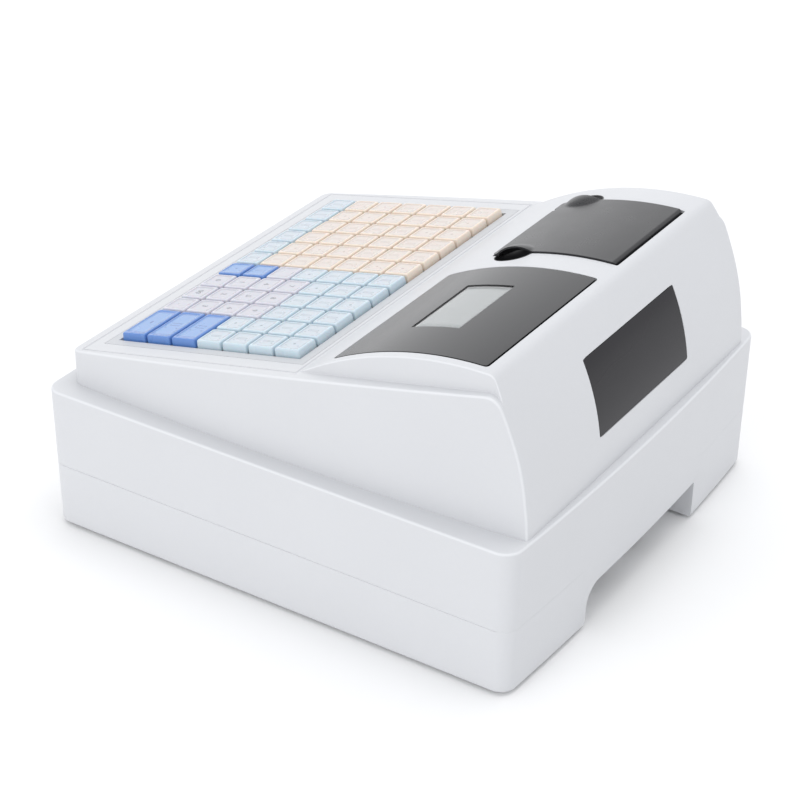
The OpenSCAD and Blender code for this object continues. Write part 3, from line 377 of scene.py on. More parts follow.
def circuitBoard(name, colour):
    # green solder mask with copper tracks and pads
    f = Finish(name, Coat_Weight=0.2)
    track = f.node("ShaderNodeTexVoronoi", {"feature": "DISTANCE_TO_EDGE", "distance": "CHEBYCHEV"},
                   {"Vector": f.place, "Scale": 210, "Randomness": 0.35})
    pad = f.node("ShaderNodeTexVoronoi", {}, {"Vector": f.place, "Scale": 330, "Randomness": 0.2})
    lineMask = track < 0.06
    padMask = pad < 0.16
    green = f.mix(lineMask, colour, shade(colour, 1.7))
    return f.set(Base_Color=f.mix(padMask, green, (0.75, 0.62, 0.35)),
                 Roughness=0.35 + 0.1 * f.noise(300, 2),
                 Normal=f.bump(lineMask * 0.5 + padMask, 0.3, 0.0001))


capPrint = dict(  # in shares of the cap: half widths from its middle, places and limits of the seed
    insert=0.385, border=(0.372, 0.392), bar=(0.20, 0.055), barInside=(0.185, 0.03), dot=0.05,
    tick=(0.24, 0.36), tickHalf=(0.035, 0.018), barFrom=0.45, dotBelow=0.3, tickFrom=0.2,
)


def keyCap(name, colour, rim, ink, marked=0.8):
    # clear cap over a coloured insert, with short printed marks read from the cap's own UV
    f = Finish(name, Coat_Weight=0.35, Coat_Roughness=0.1, Subsurface_Weight=0.08, Subsurface_Scale=0.002)
    uv = f.node("ShaderNodeUVMap", {"uv_map": "cap"}, {})
    seed = f.node("ShaderNodeAttribute", {"attribute_name": "seed"}, {}).out("Fac")
    u, v = f.plane(uv)
    du, dv = (u - 0.5).math("ABSOLUTE"), (v - 0.5).math("ABSOLUTE")
    p = capPrint
    edge = du.math("MAXIMUM", dv)
    insert = edge < p["insert"]
    border = (edge > p["border"][0]) * (edge < p["border"][1])
    kind = (seed * 5.7).math("FRACT")
    bar, barInside = ((du < p[k][0]) * (dv < p[k][1]) for k in ("bar", "barInside"))
    dot = (du * du + dv * dv).math("SQRT") < p["dot"]
    ticks = [(w - at).math("ABSOLUTE") < half for w, at, half in zip((du, v), p["tick"], p["tickHalf"])]
    ticks = ticks[0] * ticks[1]
    marks = (bar - barInside) * (kind > p["barFrom"]) + dot * (kind < p["dotBelow"])
    marks = marks + ticks * (kind > p["tickFrom"])
    cloud = f.noise(60, 2)
    body = f.mix(cloud, shade(rim, 0.97), shade(rim, 1.03))
    paper = f.mix(cloud, shade(colour, 0.97), shade(colour, 1.03))
    outlined = f.mix(border * 0.4, f.mix(insert, body, paper), ink)
    return f.set(Base_Color=f.mix((marks * marked).math("MINIMUM", 1), outlined, ink),
                 Roughness=0.25 + 0.05 * cloud, Normal=f.bump(f.noise(260, 1), 0.04, 0.00004))


looks = dict(
    case_white=moulded("caseWhite", (0.640, 0.648, 0.668), 0.42, 0.22),
    # the key frame's own grey, made darker to paint the shade that falls in the gaps between the keys
    deck_grey=moulded("deckGreyGapShade", (0.57, 0.58, 0.60), 0.48, 0.3),
    smoked_lens=smokedGlass("smokedLens", (0.018, 0.018, 0.020), 0.12, (29.0, 89.6, 55.8, 86.8)),
    cover_grey=moulded("coverGrey", (0.024, 0.024, 0.026), 0.29, 0.2, 0.05, scale=1100),
    black_plastic=moulded("blackPlastic", (0.022, 0.022, 0.024), 0.4, 0.3, 0.08),
    key_blue=keyCap("keyBlue", (0.17, 0.32, 0.62), (0.11, 0.24, 0.58), (0.05, 0.12, 0.36)),
    key_sky=keyCap("keySky", (0.50, 0.56, 0.62), (0.54, 0.65, 0.72), (0.20, 0.24, 0.28)),
    key_lilac=keyCap("keyLilac", (0.52, 0.52, 0.575), (0.61, 0.61, 0.68), (0.26, 0.25, 0.30), 0.0),
    key_peach=keyCap("keyPeach", (0.63, 0.555, 0.505), (0.78, 0.67, 0.565), (0.40, 0.32, 0.28)),
    lcd=liquidCrystal("displayGrey", (29.0, 55.8)),
    circuit_board=circuitBoard("solderMask", (0.03, 0.16, 0.07)),
    steel=metal("zincSheet", (0.62, 0.63, 0.65), 0.34),
    polished_steel=metal("groundSteel", (0.70, 0.71, 0.73), 0.2, (900, 900, 20)),
    grey_plastic=moulded("chassisGrey", (0.30, 0.31, 0.33), 0.5, 0.3),
    dark_metal=metal("headMetal", (0.20, 0.20, 0.22), 0.42),
    nylon=moulded("naturalNylon", (0.78, 0.76, 0.68), 0.4, 0.1, 0.04),
    rubber=speckled("footRubber", (0.018, 0.018, 0.018), (0.035, 0.035, 0.035), 900, 0.75),
    paper=speckled("receiptPaper", (0.86, 0.86, 0.84), (0.93, 0.93, 0.92), 700, 0.7, 0.00005),
    cardboard=speckled("rollCard", (0.38, 0.26, 0.15), (0.52, 0.38, 0.24), 500, 0.8),
    transformer=metal("laminations", (0.30, 0.27, 0.25), 0.5, (900, 40, 900), 0.5),
    spring_steel=metal("drawnWire", (0.55, 0.56, 0.58), 0.25, (300, 300, 300)),
)
plainWindow = smokedGlass("smokedWindow", (0.017, 0.016, 0.019), 0.10, gloss=0.24)
print("finishes:", len(looks))


shell = dict(
    wall=1.9, bevel=0.3, fall=(0.2, 0.4, 0.6, 0.8, 1.0),
    deckStep=7, arcStep=3.6, rearStep=4.5, topStep=6.0, topHalf=128.3, fixedHalf=126.0,
    browRows=16, browPast=0.3, beside=(0.0, 0.7, 1.5, 2.6),
    wellStep=1.6, wellLines=9, wellRows=10, clear=0.5,
    grooveBox=(-131.75, 131.75, 7.1, 166.15), grooveLines=(-0.7, -0.25, 0.25, 0.7), grooveDepth=0.75,
    frameHole=(-121.6, 121.6, 15.5, 163.45),
    lensHole=(1.2, 124.6, 26.5, 125.4), lensRound=2.4,
    coverHole=(-106.9, -19.1, 43.5, 126.6), coverRound=1.0,
    wells=((-106.1, 58.3), (-19.9, 58.3)), wellRadius=12.0,
    windowHole=(-54.7, 54.7, 119.7, 165.7), windowRound=1.2, windowBeside=(0.0, 0.6, 1.3),
    spread=2.3, spreadFrom=100.0, spreadAngle=0.75, bend=(1.0, 0.45), foot=(0.5, 0.3),
    apart=0.05, least=0.02, slant=0.1, highlightFromStep=0.8, behindDeck=50.0, rearFrom=136.0,
    bowFrom=60.0, rearBow=2.2, bowFade=(128.0, 24.0), bowRise=(0.4, 22.0),
)
mirrored = np.array([-1, 1, 1])
deckAngle = math.pi / 2 + case["tilt"]


def circlesMeet(a, ra, b, rb):  # the upper point where two circles meet
    a, b = np.array(a), np.array(b)
    d = np.linalg.norm(b - a)
    u = (b - a) / d
    s = (ra * ra - rb * rb + d * d) / (2 * d)
    return a + s * u + math.sqrt(ra * ra - s * s) * np.array([-u[1], u[0]])


def deckMeets(centre, radius, lift, side):  # where a line parallel to the deck meets a circle
    along, up = np.array([tiltCos, tiltSin]), np.array([-tiltSin, tiltCos])
    start = np.array([deckFront, case["edgeZ"]]) + lift * up
    w = np.array(centre) - start
    return start + (w @ along + side * math.sqrt(radius ** 2 - (w @ up) ** 2)) * along


shoulderBrow = deckMeets(rearCentre, rearRadius - case["shoulder"], -case["shoulder"], 1)
shoulderTurn = math.atan2(shoulderBrow[1] - rearCentre[1], shoulderBrow[0] - rearCentre[0])


def shoulderAt(y, z):
    # height and outward angle of the shoulder beside the hood: deck, rounded brow, rear face
    brow = case["shoulder"]
    first, last = shoulderBrow[0] - brow * tiltSin, shoulderBrow[0] + brow * math.cos(shoulderTurn)
    inBrow = np.clip((y - shoulderBrow[0]) / brow, -1, 1)
    height = np.where(y <= first, deckHeight(y), shoulderBrow[1] + brow * np.sqrt(1 - inBrow ** 2))
    angle = np.where(y <= first, deckAngle, np.arccos(inBrow))
    past = (y >= last) | (z <= height)
    rise = np.maximum(z - rearZ, 0)
    onArc = np.arctan2(rise, np.sqrt(rearRadius ** 2 - rise ** 2))
    pastAngle = np.where(y > shell["behindDeck"], onArc, deckAngle)
    return np.where(past, z, height), np.where(past, pastAngle, angle)


def halfWidth(y):
    # half the distance between the inner lines of the side edges: quarter round front corners,
    # then sides that bow out by a parabola
    r, c, back = case["edge"], case["corner"], case["rear"] + case["bowPast"]
    inCorner = np.clip(deckFront + c - y, 0, c - r)
    corner = case["half"] - c + np.sqrt((c - r) ** 2 - inCorner ** 2)
    middle, reach = (deckFront + back) / 2, (back - deckFront) / 2 - c
    bow = case["sideBow"] * (1 - np.clip((y - middle) / reach, -1, 1) ** 2)
    return np.where(y < deckFront + c, corner, case["half"] + bow - r)


def arcRows(centre, radius, angle):  # y, z and outward angle along a circle
    return np.stack([centre[0] + radius * np.cos(angle), centre[1] + radius * np.sin(angle), angle], 1)


def facedRows(y, z, centre):  # y, z and the angle seen from a centre
    return np.stack([y, z, np.arctan2(z - centre[1], y - centre[0])], 1)


def shellRows(s):
    # y, z and outward angle down the middle: deck, foot fillet, hood, brow, rear face, upright
    r, brow, fillet = case["edge"], case["brow"], case["footFillet"]
    corner = deckFront + case["corner"] - (case["corner"] - r) * np.cos(quarter(6)) - r * tiltSin
    footCentre = deckMeets(hoodCentre, hoodRadius + fillet, fillet, -1)
    marks = [v0 + d for v0 in s["grooveBox"][2:] for d in s["grooveLines"]] + list(s["frameHole"][2:])
    marks = list(corner[1:]) + [deckFront + v * tiltCos for v in marks]
    y = lines(corner[0], footCentre[0] + fillet * tiltSin, s["deckStep"], marks)
    rows = [np.stack([y, deckHeight(y), 0 * y + deckAngle], 1)]
    away = np.array(hoodCentre) - footCentre
    a = np.linspace(deckAngle - math.pi, math.atan2(away[1], away[0]), 5)[1:]
    rows.append(arcRows(footCentre, fillet, a) + [0, 0, math.pi])
    top = circlesMeet(rearCentre, rearRadius - brow, hoodCentre, hoodRadius - brow)
    hoodTurn, rearTurn = (math.atan2(top[1] - c[1], top[0] - c[0]) for c in (hoodCentre, rearCentre))
    hoodEnd = hoodY + hoodRadius * math.cos(hoodTurn)
    near, far = s["coverHole"][2:]
    step = s["wellStep"]
    fine = np.arange(near - step, s["wells"][0][1] + s["wellRows"] * step, step)
    marks = bothEnds(s["lensHole"][2:], s["beside"]) + [far - d for d in s["beside"]] + [near]
    marks += list(fine[np.abs(fine - near) > s["clear"]])
    y = lines(rows[-1][-1, 0], hoodEnd, s["arcStep"], marks)[1:]
    rows.append(facedRows(y, hoodHeight(y), hoodCentre))
    rows.append(arcRows(top, brow, np.linspace(hoodTurn, rearTurn, 7)[1:]))
    last = rearY + rearRadius * math.cos(shoulderTurn)
    browY = np.linspace(rows[-1][-1, 0], last + s["browPast"], s["browRows"])[1:]
    browZ = rearZ + np.sqrt(rearRadius ** 2 - (browY - rearY) ** 2)
    marks = [-m for m in bothEnds(s["windowHole"][2:], s["windowBeside"])]
    z = join([browZ, -lines(-browZ[-1], -rearZ, s["rearStep"], marks)[1:]])
    rows.append(facedRows(rearDepth(z), z, rearCentre))
    z = rearZ + (case["baseTop"] - rearZ) * np.array(s["fall"])
    rows.append(np.stack([0 * z + case["rear"], z, 0 * z], 1))
    return join(rows), len(s["fall"])


def shellColumns(s):  # x across the top, with lines at the sides of every opening
    around = s["wellStep"] * np.arange(-s["wellLines"], s["wellLines"] + 1)
    marks = [s["frameHole"][1], s["windowHole"][1], s["fixedHalf"], *s["coverHole"][:2]]
    marks += bothEnds(s["lensHole"][:2], s["beside"])
    marks += [x0 + d for x0 in s["coverHole"][:2] for d in around if abs(d) > s["clear"]]
    return lines(-s["topHalf"], s["topHalf"], s["topStep"], marks + [-m for m in marks])


def hoodHoles(u, v):  # distance to the nearest of the hood's openings
    holes = [roundBox(u, v, shell["lensHole"], shell["lensRound"])]
    holes += [roundBox(u, v, shell["coverHole"], shell["coverRound"])]
    return np.minimum.reduce(holes + [disc(u, v, c, shell["wellRadius"]) for c in shell["wells"]])


def rearHole(u, v):  # distance to the window's opening
    return roundBox(u, v, shell["windowHole"], shell["windowRound"])


def rearBowed(points):
    # the rear corners lie forward: bow times the squared share of x past bowFrom, faded in along y and z
    x, y, z = np.moveaxis(points, -1, 0)
    past = np.clip((np.abs(x) - shell["bowFrom"]) / (case["half"] - shell["bowFrom"]), 0, 1)
    fade = smooth((y - shell["bowFade"][0]) / shell["bowFade"][1])
    least, reach = shell["bowRise"]
    rise = least + (1 - least) * np.clip((z - case["baseTop"]) / reach, 0, 1)
    return points - (shell["rearBow"] * past ** 2 * fade * rise)[..., None] * np.array([0, 1, 0])


def shellTop(s, y, z, angle, low, reach):
    # the rows carried across and stepped down at the hood's sides by two quarter rounds, outside
    # fixedHalf squeezed to the bowed width, sunk by a parabola along the groove, and cut open
    step, x = z - low, shellColumns(s)
    topX = np.repeat(x[None], len(y), 0)
    topZ = np.repeat(z[:, None], len(x), 1)
    behind = (y > s["spreadFrom"]) & (angle < s["spreadAngle"])
    hoodSide = case["hoodHalf"] + s["spread"] * np.where(behind, 1 - step / step[behind].max(), 0)[:, None]
    bend, foot = (np.minimum(most, share * step)[:, None] for most, share in (s["bend"], s["foot"]))
    a, b = quarter(5)[None], quarter(3)[None]
    sideX = join([hoodSide - bend * (1 - np.sin(a)), hoodSide + foot * (1 - np.cos(b))], 1)
    sideZ = join([z[:, None] - bend * (1 - np.cos(a)), low[:, None] + foot * (1 - np.sin(b))], 1)
    groove = s["grooveBox"][1] + np.array([s["grooveLines"]])
    outer = np.maximum(groove, sideX[:, -1:] + s["apart"] * np.arange(1, 5)[None])
    last = np.maximum(reach, case["half"] - case["edge"])[:, None]
    sideX = join([sideX, outer, last], 1)
    sideZ = join([sideZ, np.repeat(low[:, None], 5, 1)], 1)
    fixed = s["fixedHalf"]
    squeeze = (reach[:, None] - fixed) / (last - fixed)
    sideX = fixed + (sideX - fixed) * squeeze
    away = np.abs(topX)
    within = np.minimum(away, fixed + (away - fixed) * squeeze)
    topX = np.sign(topX) * np.where(away > fixed, within, away)
    gridX = join([-sideX[:, ::-1], topX, sideX], 1)
    gridZ = join([sideZ[:, ::-1], topZ, sideZ], 1)
    gridY = np.repeat(y[:, None], gridX.shape[1], 1)
    offLine = roundBox(gridX, (gridY - deckFront) / tiltCos, s["grooveBox"], 0)
    sink = s["grooveDepth"] * np.clip(1 - (offLine / s["grooveLines"][-1]) ** 2, 0, 1)
    gridY, gridZ = gridY + sink * tiltSin, gridZ - sink * tiltCos
    midX, midY, midZ = (cellMiddles(g) for g in (gridX, gridY, gridZ))
    cut = hoodHoles(midX, midY) < 0
    rim = edgePoints(~cut)
    gridX, gridY = snapTo(hoodHoles, gridX, gridY, rim)
    gridZ = np.where(rim, hoodHeight(gridY), gridZ)
    cutRear = (midY > s["rearFrom"]) & (rearHole(midX, midZ) < 0)
    rim = edgePoints(~cutRear)
    gridX, gridZ = snapTo(rearHole, gridX, gridZ, rim)
    gridY = np.where(rim, rearDepth(gridZ), gridY)
    cutDeck = roundBox(midX, (midY - deckFront) / tiltCos, s["frameHole"], 0) < 0
    # painted highlight: each point's share on the quarter rounds at the hood's sides, where the step is above
    # the least one
    topHighlight = np.zeros(gridX.shape)
    bendHighlight = np.sin(2 * a) * (step[:, None] > s["highlightFromStep"])
    count, bent = sideX.shape[1], a.size
    topHighlight[:, -count:bent - count] = bendHighlight
    topHighlight[:, count - bent:count] = bendHighlight[:, ::-1]
    return np.stack([gridX, gridY, gridZ], -1), ~(cut | cutRear | cutDeck), topHighlight


def shellSurface(s):
    # the top; its edge, a quarter round from the top's outward angle to the wall's; the wall, straight down
    rows, uprightRows = shellRows(s)
    y, z, angle = rows.T
    low, lowAngle = shoulderAt(y, z)
    low = np.where(z - low < s["least"], z, low)
    r = case["edge"]
    lowNormal = np.stack([0 * y, np.cos(lowAngle), np.sin(lowAngle)], 1)
    inner = np.stack([0 * y, y, low], 1) - r * lowNormal
    inner[:, 0] = halfWidth(inner[:, 1])
    top, keep, topHighlight = shellTop(s, y, z, angle, low, inner[:, 0])
    parts, paintedHighlights = [sheet(top, keep)], [topHighlight]
    frontX = top[0, top[0, :, 0] > 0, 0]
    frontInner = np.stack([frontX, 0 * frontX + inner[0, 1], 0 * frontX + inner[0, 2]], 1)
    side = inner[1:]
    centre = join([frontInner, side])
    above = join([np.repeat(lowNormal[:1], len(frontX), 0), lowNormal[1:]])
    turn = np.clip((deckFront + case["corner"] - side[:, 1]) / (case["corner"] - r), 0, 1)
    slant = np.gradient(side[:, 0]) / np.maximum(np.abs(np.gradient(side[:, 1])), s["apart"])
    outX = np.where(turn > 0, np.sqrt(1 - turn ** 2), 1)
    outY = np.where(turn > 0, -turn, -np.clip(slant, -s["slant"], s["slant"]))
    outward = np.stack([outX, outY, 0 * outX], 1)
    outward = join([np.repeat([[0.0, -1.0, 0.0]], len(frontX), 0), outward])
    outward /= np.linalg.norm(outward, axis=1)[:, None]
    q = quarter(6)[None, :, None]
    way = np.cos(q) * above[:, None] + np.sin(q) * outward[:, None]
    edge = centre[:, None] + r * way / np.linalg.norm(way, axis=2)[:, :, None]
    fall = np.array((0.0,) + s["fall"])[None, :, None]
    rim = edge[:len(edge) - uprightRows, -1:]
    foot = rim * [1, 1, 0] + [0, 0, case["baseTop"]]
    # the edge's quarter round gets a painted highlight, strongest half way round; the wall below gets none
    sides = ((edge, np.sin(2 * q[..., 0])), (rim * (1 - fall) + foot * fall, 0))
    for grid, highlightShare in sides:
        parts += [sheet(grid), sheet(grid * mirrored, flip=True)]
        paintedHighlights += [np.zeros(grid.shape[:2]) + highlightShare] * 2
    for grid, highlightShare in sides:
        parts.append(sheet(np.stack([grid[0], grid[0] * mirrored]), flip=True))
        paintedHighlights.append(np.zeros((2, grid.shape[1])) + highlightShare)
    return [(rearBowed(points), faces) for points, faces in parts], paintedHighlights


shellParts, shellPaintedHighlights = shellSurface(shell)
shellPiece = putMesh("registerShell", shellParts, weld=0.03, paintedHighlights=shellPaintedHighlights)
thicken(shellPiece, shell["wall"])
roundEdges(shellPiece, shell["bevel"], 55)
finishPiece(shellPiece, "housing", "case_white", "register_shell")
print("register shell:", len(shellPiece.data.polygons), "faces")


def panelPiece(name, shape, us, vs, surface, top, under, bevel, flip=False):
    # a sheet cut to an outline: its upper and lower faces are lifted off a surface and joined at the rim
    u, v = np.meshgrid(us, vs)
    keep = shape(cellMiddles(u), cellMiddles(v)) < 0
    u, v = snapTo(shape, u, v, edgePoints(keep, 0))
    points = join([surface(u, v, lift(u, v)).reshape(-1, 3) for lift in (top, under)])
    faces = join([gridFaces(*u.shape, keep, flip), gridFaces(*u.shape, keep, not flip) + u.size,
                  rimWalls(*u.shape, keep, flip)])
    piece = putMesh(name, [(points, faces)])
    roundEdges(piece, bevel, 50, 3)
    return piece


def boxPanel(name, s, surface, shape=None, marks=((), ()), flip=False):
    # a panel with a round cornered box for its outline, level with the surface
    us, vs = (lines(*span, step, bothEnds(span, beside) + list(more)) for span, step, beside, more
              in zip((s["box"][:2], s["box"][2:]), s["steps"], s["beside"], marks))
    outline = shape or (lambda u, v: roundBox(u, v, s["box"], s["round"]))
    return panelPiece(name, outline, us, vs, surface, level(0), level(-s["thickness"]), s["edge"], flip)


def level(height):  # a constant lift
    return lambda u, v: 0 * u + height


lens = dict(box=(1.7, 123.6, 27.0, 124.2), round=2.2, thickness=0.5, edge=0.2,
            steps=(6, 3.5), beside=((0.6, 1.2, 2.0, 3.0),) * 2)
finishPiece(boxPanel("displayLens", lens, onHood), "housing", "smoked_lens", "display_lens")

cover = dict(box=(-106.1, -19.9, 44.0, 124.5), round=2.0, proud=1.0, sheet=3.4, roll=2.0, edge=0.35,
             flapRadius=11.5, flapRise=3.6, flapSheet=1.1, flapBlend=0.2, flapEase=1.6,
             tab=(-93.8, 44.0), tabRadius=1.6, levelFrom=120, steps=(5, 4), fine=0.9,
             fineColumns=16, fineRows=32, rollRows=(0.2, 0.5, 0.9, 1.4, 2.0, 2.5))


def coverShape(u, v):  # rectangle less the small front tab's notch
    return np.maximum(roundBox(u, v, cover["box"], cover["round"]),
                      -disc(u, v, cover["tab"], cover["tabRadius"]))


def flapAway(u, v):  # distance to the nearer finger hollow's middle
    return np.minimum.reduce([disc(u, v, c, 0) for c in shell["wells"]])


def coverTop(u, v):
    # level, with the cap of a ball over each finger hollow, and rolled down by a quarter round at the rear
    r, h, away = cover["flapRadius"], cover["flapRise"], flapAway(u, v)
    ball = (r * r + h * h) / (2 * h)
    cap = np.sqrt(np.maximum(ball ** 2 - away ** 2, 0)) - (ball - h)
    dome = (cap + np.hypot(cap, cover["flapBlend"])) / 2
    back = np.clip((v - cover["box"][3]) / cover["roll"] + 1, 0, 1)
    return cover["proud"] + dome - cover["roll"] * (1 - np.sqrt(1 - back ** 2))


def coverUnder(u, v):
    # one sheet's depth below the top, eased to a thinner sheet under the domes, level near the rear
    top, bottom = coverTop(u, v), cover["proud"] - cover["sheet"]
    flat = np.minimum(top, cover["proud"]) - cover["sheet"]
    share = smooth((cover["flapRadius"] - flapAway(u, v)) / cover["flapEase"])
    return np.where(v > cover["levelFrom"], bottom, flat + (top - cover["flapSheet"] - flat) * share)


fineX = bothEnds(cover["box"][:2], cover["fine"] * np.arange(cover["fineColumns"]))
fineY = list(cover["box"][2] + cover["fine"] * np.arange(1, cover["fineRows"] + 1))
fineY += [cover["box"][3] - d for d in cover["rollRows"]]
coverPiece = panelPiece(
    "printerCover", coverShape, lines(*cover["box"][:2], cover["steps"][0], fineX),
    lines(*cover["box"][2:], cover["steps"][1], fineY), onHood, coverTop, coverUnder, cover["edge"])
finishPiece(coverPiece, "printer_cover", "cover_grey", "printer_cover")

window = dict(box=(-54.4, 54.4, 120.0, 165.4), round=1.0, thickness=1.6, edge=0.35,
              steps=(9, 3.4), beside=((0.4, 0.9), (0.5, 1.0)))
windowPiece = boxPanel("customerWindow", window, onRear, flip=True)
finishPiece(windowPiece, "housing", "smoked_lens", "customer_window", finish=plainWindow)


def rodMesh(x0, x1, y, z, radius, sides=24):  # a capped rod along x
    a = np.linspace(0, 2 * math.pi, sides + 1)
    ring = np.stack([0 * a, y + radius * np.cos(a), z + radius * np.sin(a)], 1)
    ends = [ring + [x, 0, 0] for x in (x0, x1)]
    fans = [[(0, k + 2, k + 1) for k in range(sides)], [(0, k + 1, k + 2) for k in range(sides)]]
    tips = [(join([[[x, y, z]], end]), fan) for x, end, fan in zip((x0, x1), ends, fans)]
    return [sheet(np.stack(ends))] + tips


knuckle = dict(inset=6.0, width=9.0, y=122.1, z=183.978, radius=2.4)
knuckleParts = []
for corner, side in zip(cover["box"][:2], (1, -1)):
    ends = sorted(corner + side * (knuckle["inset"] + d) for d in (0, knuckle["width"]))
    knuckleParts += rodMesh(*ends, knuckle["y"], knuckle["z"], knuckle["radius"])
finishPiece(putMesh("coverKnuckles", knuckleParts, sharp=40), "printer_cover", "cover_grey")

well = dict(radius=12.1, depth=7.6, wall=0.85, around=56, rings=15, power=3.2, open=1.6,
            sunk=0.05, edge=0.25)


def wellBowl(centre):
    # a superellipse bowl turned about an upright axis, hung from the hood's surface
    a = np.linspace(0, 2 * math.pi, well["around"] + 1)[:, None]
    k = np.sin(quarter(well["rings"]))[None]
    x, y = centre[0] + well["radius"] * k * np.cos(a), centre[1] + well["radius"] * k * np.sin(a)
    depth = well["depth"] * (1 - k ** well["power"]) ** (1 / well["open"])
    return sheet(np.stack([x, y, hoodHeight(y) - depth - well["sunk"]], -1), flip=True)


cupPiece = putMesh("gripCups", [wellBowl(c) for c in shell["wells"]], weld=0.01)
thicken(cupPiece, well["wall"])
roundEdges(cupPiece, well["edge"], 60)
finishPiece(cupPiece, "housing", "black_plastic", "grip_cups")

lcd = dict(box=(27.8, 90.8, 54.3, 88.3), depth=0.6, thickness=0.8, steps=(8, 4))
lcdU, lcdV = np.meshgrid(lines(*lcd["box"][:2], lcd["steps"][0]), lines(*lcd["box"][2:], lcd["steps"][1]))
lcdPiece = putMesh("displayGlass", [sheet(onHood(lcdU, lcdV, 0 * lcdU - lcd["depth"]))])
thicken(lcdPiece, lcd["thickness"])
finishPiece(lcdPiece, "housing", "lcd")
print("panels, wells and display made")


base = dict(
    frontHalf=150.5, rearHalf=153.5, front=-166.0, rear=161.5, bow=4.5, corner=11.5,
    low=2.0, seam=43.6, top=95.2, lowInset=1.4, topInset=0.2, edge=1.4, wall=2.4, bevel=0.15,
    opening=(137.5, 10.0, 85.6), openingY=-150, rearY=120, tiny=0.1, frontStep=11, rearStep=8,
    notch=(-69.0, 69.0, -60.0, 27.6), notchRound=(1.0, 14.0), notchY=137.0, notchReach=72, notchNear=2,
    notchLines=(-74.7, -69, -68.5, -67.6, -66.3, -64.6, -62.6, -60, -57.3, -55),
    tongue=74.7, tongueRows=(27.6, 28.2, 32, 36, 40, 43.6), tongueTop=44.7,
    tuck=0.25, tuckTop=28, tuckIn=0.5,
    seamNear=0.7, seamShare=(0.7, 0.15), seamFade=150.5, seamRows=((0.4, 0.12), (0.15, 0.35), (0.0, 0.8)),
    footRows=((2.0, 8.0), (2.0, 3.4), (2.12, 2.7), (2.5, 2.05), (3.1, 1.65)),
    lowRows=(4.0, 7, 10, 13.6, 15.2, 17, 18.8, 20.6, 22.2, 23.6, 24.8, 25.8, 26.6, 27.2, 27.6,
             31, 35, 39, 42.6),
    upRows=(44.6, 50, 58, 66, 74, 80, 85.6, 89), lowSeam=43, upSeam=44, topEdge=93, roofInsets=(6.0, 9.5),
    liningFoot=(2.03, 2.12, 2.5, 3.1, 4.0, 7.5, 11.0), liningStep=12, liningRows=7, liningGap=0.03,
)


def notchShape(x, z):  # distance to the notch: one upper corner is sharp, the other round
    return roundBox(x, z, base["notch"], np.where(x < 0, *base["notchRound"]))


def draft(z):  # the walls lean in a little towards the foot
    return np.interp(z, (base["low"], base["top"]), (base["lowInset"], base["topInset"]))


def rearLine(x):  # the bowed rear, a parabola
    return base["rear"] + base["bow"] * (1 - (x / (base["rearHalf"] - base["corner"])) ** 2)


def baseOutline():
    # half the plan from the front's middle to the rear's, with outward normals, then mirrored
    c = base["corner"]

    def corner(half, y, start):
        a = np.radians(np.linspace(start, start + 90, 9))
        return np.stack([half - c + c * np.cos(a), y + c * np.sin(a), np.cos(a), np.sin(a)], 1)

    frontX = lines(0, base["frontHalf"] - c, base["frontStep"], [base["opening"][0]])
    t = np.linspace(0, 1, 24)[1:-1]
    sideX = base["frontHalf"] + t * (base["rearHalf"] - base["frontHalf"])
    sideY = base["front"] + c + t * (base["rear"] - base["front"] - 2 * c)
    rearX = -lines(c - base["rearHalf"], 0, base["rearStep"], base["notchLines"])[1:]
    normal = np.stack([2 * base["bow"] * rearX / (base["rearHalf"] - c) ** 2, 0 * rearX + 1], 1)
    normal /= np.linalg.norm(normal, axis=1)[:, None]
    half = join([
        np.stack([frontX, 0 * frontX + base["front"], 0 * frontX, 0 * frontX - 1], 1),
        corner(base["frontHalf"], base["front"] + c, -90), np.stack([sideX, sideY, 0 * t + 1, 0 * t], 1),
        corner(base["rearHalf"], base["rear"] - c, 0), np.column_stack([rearX, rearLine(rearX), normal])])
    return join([half, half[::-1][1:] * np.array([-1, 1, -1, 1])])


outline = baseOutline()


def wrap(heights, drop, shape=None):
    # the plan outline carried up a list of heights and insets, less the cells that drop says;
    # the rim of the notch is moved onto its outline
    z, inset = np.array(heights).T
    share = np.where(outline[None, :, 1] > base["seamFade"], base["seamShare"][1], base["seamShare"][0])
    fine = np.where((np.abs(z - base["seam"]) < base["seamNear"])[:, None], share, 1)
    inset = draft(z)[:, None] + (inset - draft(z))[:, None] * fine
    x, y = (outline[None, :, k] - inset * outline[None, :, k + 2] for k in (0, 1))
    z = np.repeat(z[:, None], x.shape[1], 1)
    keep = ~drop(cellMiddles(x), cellMiddles(y), cellMiddles(z))
    if shape is not None:
        rim = edgePoints(keep) & (y > base["rearY"]) & (np.abs(x) < base["notchReach"])
        rim &= (z > base["low"] + base["tiny"]) & (z < base["notch"][3] - base["tiny"])
        rim &= np.abs(shape(x, z)) < base["notchNear"]
        x2, z2 = snapTo(shape, x, z, rim)
        y = np.where(rim, y - rearLine(x) + rearLine(x2), y)
        x, z = x2, z2
    return np.stack([x, y, z], -1), keep


def inOpening(x, y):  # within the drawer's opening in the front
    return (y < base["openingY"]) & (np.abs(x) < base["opening"][0])


def lowerDrop(x, y, z):
    slot = (y > base["rearY"]) & (np.abs(x) < base["tongue"]) & (z > base["notch"][3])
    notch = (y > base["rearY"]) & (notchShape(x, z) < 0)
    return inOpening(x, y) & (z > base["opening"][1]) | slot | notch


def upperDrop(x, y, z):
    return inOpening(x, y) & (z < base["opening"][2])


def drafted(heights):
    return [(z, draft(z)) for z in heights]


